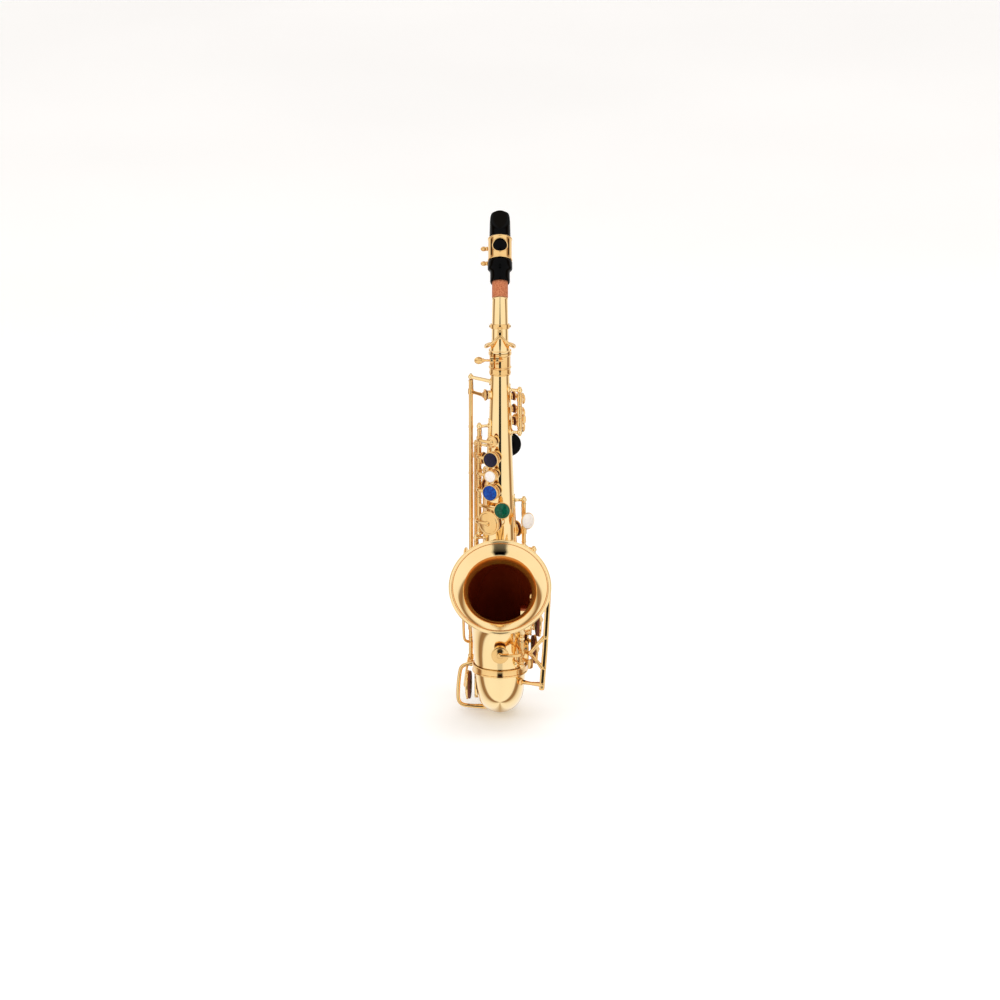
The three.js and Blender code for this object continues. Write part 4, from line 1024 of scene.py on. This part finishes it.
def pearl_holder(shape, key):
    base, high = cup_top(key) - 0.6, cup_top(key) + 2.2
    edge = key["pearl"] + 0.9
    shape.turned([
        (0, base), (3.0, base), (2.5, base + 0.9), (2.2, base + 1.5), (2.5, high - 0.5), (edge - 1.4, high - 0.05),
        (edge - 0.3, high + 0.3),
        (edge, high + 0.8), (edge, high + 1.75), (edge - 0.25, high + 1.95), (edge - 0.6, high + 1.9),
        (edge - 0.75, high + 1.4), (0, high + 1.2),
    ], seat_point(key, 0), key["hole"][1], 48)


def pearl(radius, point, direction):
    shape = Shape()
    r = radius + 0.05
    shape.turned([(0, -0.1), (r - 0.15, -0.1), (r, 0.1), (r, 0.75), (r * 0.97, 1.05), (r * 0.86, 1.45),
        (r * 0.66, 1.82), (r * 0.4, 2.08), (r * 0.18, 2.18),
                  (0, 2.2)], point, direction, 48)
    return shape


def holder_plate(shape, point, direction):
    """A separate pearl cup of a touch piece."""
    shape.turned([(0, -1.6), (3.4, -1.6), (6.3, -1.2), (7.5, -0.5), (7.8, 0.2), (7.8, 0.75), (7.5, 0.95), (7.2, 0.85),
        (7.1, 0.3), (0, 0.15)],
                 point, direction, 56)


G_PEARL = Vector((4.1, -23.4, 190.5))
G_SHARP_PEARL = Vector((25.2, -9.5, 176))
G_SHARP_FACE = Vector((0.67, -0.74, 0.1))


def key_g_extra(shape):
    shape.sweep([(-19, -5, 190.5), (-14, -12.5, 191), (-5, -19.7, 190.6), G_PEARL + Vector((0, 1.7, 0))],
        [2.0, 1.7, 1.7, 2.6], flat=0.75, up=(0, -1, 0))
    holder_plate(shape, G_PEARL, (0, -1, 0.1))


def key_g_sharp_extra(shape):
    shape.sweep([(22, 2, 178), (23.2, -2, 178), (24.6, -6, 177), G_SHARP_PEARL + Vector((-0.8, 1.2, 0))],
        [2.2, 1.9, 1.9, 3.2], flat=0.7, up=(1, 0, 0))
    holder_plate(shape, G_SHARP_PEARL, G_SHARP_FACE)


def key_e_flat_extra(shape):
    shape.sweep([(-27, 4, 83.2), (-30.4, 2.2, 84.5), (-31.4, 0, 92), (-32.4, -3.6, 100), (-33, -5.5, 104)],
        [1.9, 1.6, 1.5, 1.6, 2.2],
                flat=0.75, up=(-1, -0.5, 0))
    shape.plate(oval(13, 10, 2.6), 1.8, (-33.6, -5.5, 105), (-1, -0.5, 0), crown=0.55)


def key_low_c_extra(shape):
    shape.sweep([(-27, 4, 55), (-31.6, 2, 57), (-33, 0, 62), (-33.2, -3.4, 78), (-33, -5.5, 90)],
        [1.9, 1.7, 1.5, 1.5, 2.2], flat=0.8,
                up=(-1, -0.5, 0))
    shape.plate(oval(13, 9, 2.6), 1.8, (-33.6, -5.5, 93), (-1, -0.5, 0), crown=0.55)


# A touch on an arm: half-widths of the arm, its flatness, and the plate's outline power, thickness, crown and edge.
PALM_TOUCH = ((1.8, 1.6, 2.2), 0.8, 2.2, 2.2, 1.0, 0.6)
SIDE_TOUCH = ((1.9, 1.6, 2.0), 0.8, 3.2, 2.0, 0.5, 0.45)
SPATULA = ((2.0, 1.7, 2.4), 0.75, 4.5, 1.9, 0.45, 0.45)


def touch(style, points, at, direction, width, height):
    """Gives the maker of a touch: an arm through the points, by way of the middle if they are two, and a plate."""
    widths, flat, power, thick, crown, edge = style
    if len(points) == 2:
        points = [points[0], (Vector(points[0]) + Vector(points[1])) / 2, points[1]]

    def make(shape):
        shape.sweep(points, widths, flat=flat, up=direction)
        shape.plate(oval(width, height, power), thick, at, direction, crown=crown, edge=edge)

    return make


EXTRAS = {
    "key_g": key_g_extra,
    "key_g_sharp": key_g_sharp_extra,
    "key_e_flat": key_e_flat_extra,
    "key_low_c": key_low_c_extra,
    "palm_key_d": touch(PALM_TOUCH, [(18, -5, 265.5), (20, -1, 264.5), (20.5, 4, 262.5)], (20.8, 7.5, 261.5),
    (1, 0.25, 0), 11, 10),
    "palm_key_e_flat": touch(PALM_TOUCH, [(18, -5, 277.5), (20, -1, 276.5), (20.5, 4, 275.4)], (20.8, 8, 275),
    (1, 0.25, 0), 12, 9),
    "palm_key_f": touch(PALM_TOUCH, [(18, -5, 289.5), (20, -1, 289), (20.5, 4, 288.4)], (20.8, 8, 288), (1, 0.25, 0),
    12, 10),
    "side_key_e": touch(SIDE_TOUCH, [(-26.7, 10, 138), (-30.6, 17.4, 136)], (-31.6, 19, 134), (-1, 0.4, 0), 8, 16),
    "side_key_c": touch(SIDE_TOUCH, [(-22, 16, 120), (-26, 22.8, 118)], (-27, 24.4, 117), (-1, 0.5, 0), 8, 14),
    "side_key_b_flat": touch(SIDE_TOUCH, [(-14, 21.5, 108), (-18.6, 27.4, 105)], (-19.6, 28.8, 104), (-1, 0.7, 0), 8,
    14),
    "key_low_b": touch(SPATULA, [(24.5, -30, 146), (28.8, -39.6, 148)], (29.4, -41, 148), (1, 0.3, 0.5), 12, 12),
    "key_low_b_flat": touch(SPATULA, [(31, -31, 134), (35.8, -39.6, 134)], (36.4, -41, 134), (1, 0.3, 0.5), 12, 12),
    "key_low_c_sharp": touch(SPATULA, [(20, -80, 66), (26.8, -86.8, 64)], (27.6, -87.6, 63), (0.7, -0.7, 0), 6, 9),
}
PEARL_FINISH = {
    "key_b": NAVY, "key_bis": PEARL, "key_a": BLUE, "key_g": GREEN, "key_f": GREEN, "key_e": BLUE, "key_d": NAVY,
    "key_g_sharp": PEARL,
}


def settle(shape, key):
    """An open key is drawn closed on its tone hole, then lifted to its rest place."""
    if key.get("lift"):
        shape.turn((*key["hinge"], 0), "Z", -key["turn"] * key["lift"])
    return shape


def stone(name, shape, key):
    node = name.replace("key", "pearl")
    fine(node, settle(shape, key), name, PEARL_FINISH[name])


for name, key in KEYS.items():
    shape = Shape()
    z = barrel(shape, key, key["hole"][0].z)
    cup(shape, key)
    arm(shape, key, z)
    if key.get("pearl"):
        pearl_holder(shape, key)
    if name in EXTRAS:
        EXTRAS[name](shape)
    fine(name, settle(shape, key), name)
    nodes = [f"{name}_pad"] if key.get("pad") else []
    piece(f"{name}_leather", settle(pad(key), key), name, [LEATHER, STEEL], nodes)
    if key.get("pearl"):
        stone(name, pearl(key["pearl"], seat_point(key, cup_top(key) + 3.5), key["hole"][1]), key)
stone("key_g", pearl(6.9, G_PEARL + Vector((0, -GAP, 0)), (0, -1, 0.1)), KEYS["key_g"])
stone("key_g_sharp", pearl(7, G_SHARP_PEARL + G_SHARP_FACE * GAP, G_SHARP_FACE), KEYS["key_g_sharp"])

# ---------------------------------------------------------------- octave lever
lever = Shape()
OCTAVE = dict(hinge=OCTAVE_ROD, span=(262, 304))
barrel(lever, OCTAVE, 268)
lever.sweep([(6, 15, 297), (6, 19.4, 300), (6, 20.5, 306), (6, 20.5, 325), (6, 20.5, 340), (4.4, 19, 344.4),
    (1, 14, 345), (-0.8, 11.2, 343.2), (-1, 10.95, 338.6)],
            [1.5, 1.3, 1.15, 1.15, 1.15, 1.15, 1.15, 1.15, 1.1], sides=14)
lever.sweep([(6, 15, 268), (10.5, 17, 267.5), (15.5, 17.4, 266)], [1.9, 1.7, 2.4], flat=0.75, up=(0, 1, 0))
lever.plate(oval(13, 12, 2.6), 1.8, (17.4, 17.6, 265.5), (0, 1, 0), crown=0.7)
fine("octave_lever", lever, "octave_lever")
tip = Shape()
tip.turned([(0.8, -1.6), (1.45, -1.6), (1.45, 1.6), (0.8, 1.6)], (-1, 10.95, 339.2), sides=20, closed=True)
piece("octave_lever_sleeve", tip, "octave_lever", [FELT])

# ---------------------------------------------------------------- brace, guards, thumb rest, hook and strap ring
brace = Shape()
brace.sweep([(12.3, -12.1, 118), (12.8, -16, 117.4), (13, -20.6, 117)], [2.9, 1.9, 2.2])
brace.turned([(0, -1.2), (4.2, -1.2), (4.2, -0.2), (3.0, 0.7), (0, 0.9)], (12.1, -12.3, 118), (0.6, -0.9, 0), 36, 0.3)
brace.hoop(6.4, 1.4, (13, -27, 116), (1, 0, 0))
brace.sweep([(13, -33.4, 115), (13, -37, 114.4), (13, -41.3, 113.8)], [2.2, 1.9, 2.7])
fine("bell_brace", brace)

GUARD_Y = -80
guard = Shape()
rings = []
for z in [35.6, 35.9, *spread(37, 126.5, 34), 127.7, 128]:
    low_part, high_part = min((z - 35) / 39, 1), max((z - 74) / 54, 0)
    inner_x = 35.5 + 3 * low_part + 3 * high_part
    outer_x = 40.5 + 3 * low_part + 3 * high_part
    inset = 0.9 if z in (35.6, 128) else 0.35 if z in (35.9, 127.7) else 0
    middle, half = (inner_x + outer_x) / 2, (outer_x - inner_x) / 2 - inset
    rings.append([
        (middle + math.copysign(abs(math.cos(a)) ** 0.6, math.cos(a)) * half,
         GUARD_Y + math.copysign(abs(math.sin(a)) ** 0.6, math.sin(a)) * (1.4 - inset * 0.5), z)
        for a in circle(32)
    ])
guard.skin(rings)
FOOT_SHAPE = [(0, -1), (3.6, -1), (3.6, 0.2), (2.6, 1.0), (0, 1.2)]
guard.sweep([(29.4, -78.4, 124), (34, -79.4, 124), (43.6, GUARD_Y, 124)], [2.1, 1.6, 2.3], flat=0.8, up=(0, 1, 0))
guard.turned(FOOT_SHAPE, (29, -78.2, 124), (0.95, -0.3, 0), 36, 0.3)
guard.sweep([(20.8, -70.7, 70), (24, -75.5, 70.4), (27, -79, 71), (30, GUARD_Y, 74), (33.6, GUARD_Y, 78.6),
    (40.2, GUARD_Y, 86)],
            [2.3, 1.8, 1.9, 1.6, 1.5, 2.1], flat=0.9, up=(0, 1, 0))
guard.sweep([(26.4, -78.4, 71), (30, GUARD_Y, 67.6), (33.6, GUARD_Y, 63.4), (38.5, GUARD_Y, 57)], [1.9, 1.6, 1.5, 2.1],
    flat=0.9, up=(0, 1, 0))
guard.turned(FOOT_SHAPE, (20.4, -70.2, 70), (0.8, -0.6, 0), 36, 0.3)
guard.sweep([(20.2, -69, 40), (28, -75.5, 40.5), (37.5, GUARD_Y, 41)], [2.3, 1.6, 2.3], flat=0.9, up=(0, 1, 0))
guard.turned(FOOT_SHAPE, (19.9, -68.8, 40), (0.85, -0.5, 0), 36, 0.3)
for x, z in ((38.6, 41), (40.4, 57), (41.5, 86), (43.8, 124)):
    guard.slotted_head((x, GUARD_Y - 1.2, z), (0, -1, 0), 1.5, 0.5)
fine("low_key_guard", guard)

low_c = Shape()
corners = [(-13.6, 39.3), (-20, 43.4), (-27, 44.4), (-34.4, 42), (-37, 36), (-38.6, 20), (-38.2, 9.6), (-34.6, 5),
    (-26, 3.4), (-13.6, 2.8)]
low_c.sweep([(x, -BOW_BEND, z) for x, z in corners], [2.4, 1.9, 1.8, 1.8, 1.8, 1.8, 1.8, 1.8, 1.8, 2.4], flat=1,
    sides=20, up=(0, 1, 0))
for x, z in (corners[0], corners[-1]):
    facing = Vector((x, 0, z - 21))
    low_c.turned([(0, -1.4), (3.8, -1.4), (3.8, -0.1), (2.8, 0.8), (0, 1.0)], (x, -BOW_BEND, z), facing, 36, 0.3)
fine("low_c_guard", low_c)

rest = Shape()
rest.turned([(0, 0), (6, 0), (6, 1.5), (10.4, 2.4), (11.5, 3.6), (11.5, 5), (10.6, 6.3), (9, 7), (0, 7)], (8, 12, 242),
    (0, 1, 0), 64, 0.6)
fine("thumb_rest", rest, finish=EBONITE)

HOOK_Z = 118
hook = Shape()
y0 = body_radius(HOOK_Z)
hook.plate(oval(13, 26, 5), 2, (0, y0 + 1.8, HOOK_Z), (0, 1, 0), crown=0.0)
outline = [(math.sin(a) * 13.95, math.cos(a) * 9) for a in spread(0, math.radians(125), 20)]
hook.sweep([(0, y0 + 1.6 + p, HOOK_Z + q) for p, q in outline], [5.4] * 19 + [5.0, 4.4], flat=0.2, up=(0, 0, 1), per=1,
    sides=24)
for z in (HOOK_Z - 9.5, HOOK_Z + 10.4):
    hook.slotted_head((0, y0 + 2.7, z), (0, 1, 0), 1.8, 0.6)
fine("thumb_hook", hook)

EYE = Vector((0, 23, 178))
strap = Shape()
strap.turned([(0, -0.2), (5, -0.2), (5, 1.1), (3.4, 1.7), (2.1, 2.4), (1.9, 3.6), (2.1, 4.2), (0, 4.4)],
    (0, 13.9, EYE.z), (0, 1, 0), 40, 0.25)
strap.hoop(5.4, 1.4, EYE, (1, 0, 0))
fine("strap_ring", strap)

# ---------------------------------------------------------------- floor, light and camera
floor_mesh = bpy.data.meshes.new("floor")
FLOOR_HALF = 30
low_z = cad_box[0].z - 0.0015
floor_mesh.from_pydata([(x * FLOOR_HALF, y * FLOOR_HALF, low_z) for x, y in ((-1, -1), (1, -1), (1, 1), (-1, 1))], [],
    [(0, 1, 2, 3)])
floor_mesh.materials.append(look("floor_white", [(0.3, (0.9, 0.9, 0.9, 1)), (0.7, (0.94, 0.94, 0.94, 1))], (0.7, 0.8),
    2,
                                   fixed={"Emission Color": (1, 1, 1, 1), "Emission Strength": 0.16}))
floor = bpy.data.objects.new("floor", floor_mesh)
bpy.context.scene.collection.objects.link(floor)
floor.visible_glossy = False

# White all round, with a brown band at each flank, a dimmer back and a narrow dark gap in front.
world = bpy.data.worlds.new("studio")
bpy.context.scene.world = world
world.use_nodes = True
nodes, links = world.node_tree.nodes, world.node_tree.links
where = nodes.new("ShaderNodeTexCoord")
split = nodes.new("ShaderNodeSeparateXYZ")
links.new(where.outputs["Generated"], split.inputs["Vector"])


def computed(operation, first, second=None, kind="Math"):
    node = nodes.new(f"ShaderNode{kind}")
    node.operation = operation
    for socket, value in zip(node.inputs, (first, second)):
        if isinstance(value, (int, float, tuple)):
            socket.default_value = value
        elif value is not None:
            links.new(value, socket)
    return node.outputs[0]


def stepped(value, stops):
    ramp = nodes.new("ShaderNodeValToRGB")
    for place, _ in stops[2:]:
        ramp.color_ramp.elements.new(place)
    for stop, (place, tint) in zip(ramp.color_ramp.elements, stops):
        stop.position = place
        stop.color = (*tint, 1) if isinstance(tint, tuple) else (tint, tint, tint, 1)
    links.new(value, ramp.inputs["Fac"])
    return ramp.outputs["Color"]


azimuth = computed("ARCTAN2", split.outputs["X"], computed("MULTIPLY", split.outputs["Y"], -1))
share = computed("DIVIDE", computed("ABSOLUTE", azimuth), math.pi)
height = computed("ADD", computed("MULTIPLY", split.outputs["Z"], 0.5), 0.5)
lift = computed("MAXIMUM", split.outputs["Z"], 0)
narrowed = computed("MULTIPLY", share, computed("ADD", computed("MULTIPLY", lift, 1.9), 1))
surround = stepped(share, [
    (0.0, 1.0), (0.3, 1.04), (0.45, 1.0), (0.5, (0.36, 0.24, 0.15)), (0.58, (0.3, 0.18, 0.1)),
    (0.66, (0.86, 0.8, 0.72)),
    (0.74, 1.0), (0.9, 1.0), (1.0, (0.5, 0.38, 0.26)),
])
gap = stepped(narrowed, [(0.0, 1.0), (0.05, 1.0), (0.078, 0.0), (1.0, 0.0)])
reach_of_gap = stepped(height, [(0.0, 0.0), (0.25, 0.0), (0.345, 1.0), (0.46, 1.0), (0.6, 0.9), (0.82, 0.84),
    (0.92, 0.0), (1.0, 0.0)])
dark = computed("MULTIPLY", gap, reach_of_gap, "VectorMath")
seen = computed("MULTIPLY", surround, computed("SUBTRACT", (1, 1, 1), dark, "VectorMath"), "VectorMath")
links.new(seen, nodes["Background"].inputs["Color"])
nodes["Background"].inputs["Strength"].default_value = 1.0


def softbox(name, place, size, power):
    light = bpy.data.lights.new(name, "AREA")
    light.shape = "DISK"
    light.size = size
    light.energy = power
    obj = bpy.data.objects.new(name, light)
    obj.location = place
    obj.rotation_mode = "QUATERNION"
    obj.rotation_quaternion = (-Vector(place)).to_track_quat("-Z", "Y")
    obj.visible_glossy = False
    bpy.context.scene.collection.objects.link(obj)


softbox("top_light", (0.3, -0.4, 2.2), 1.6, 14)
softbox("left_light", (-1.9, -1.3, 1.2), 1.2, 8)

TARGET = FOOT + Vector((0, 0, 0.1933))
ELEVATION = math.radians(16.05)
DISTANCE = 5.0
FRAME_WIDTH = 0.92
camera_data = bpy.data.cameras.new("camera")
camera_data.sensor_width = 36
camera_data.lens = 36 * DISTANCE / FRAME_WIDTH
camera_data.clip_end = 100
camera = bpy.data.objects.new("camera", camera_data)
camera.location = TARGET + Vector((0, -math.cos(ELEVATION), math.sin(ELEVATION))) * DISTANCE
camera.rotation_mode = "QUATERNION"
camera.rotation_quaternion = (TARGET - camera.location).to_track_quat("-Z", "Y")
bpy.context.scene.collection.objects.link(camera)
bpy.context.scene.camera = camera
bpy.context.scene.view_settings.view_transform = "Standard"
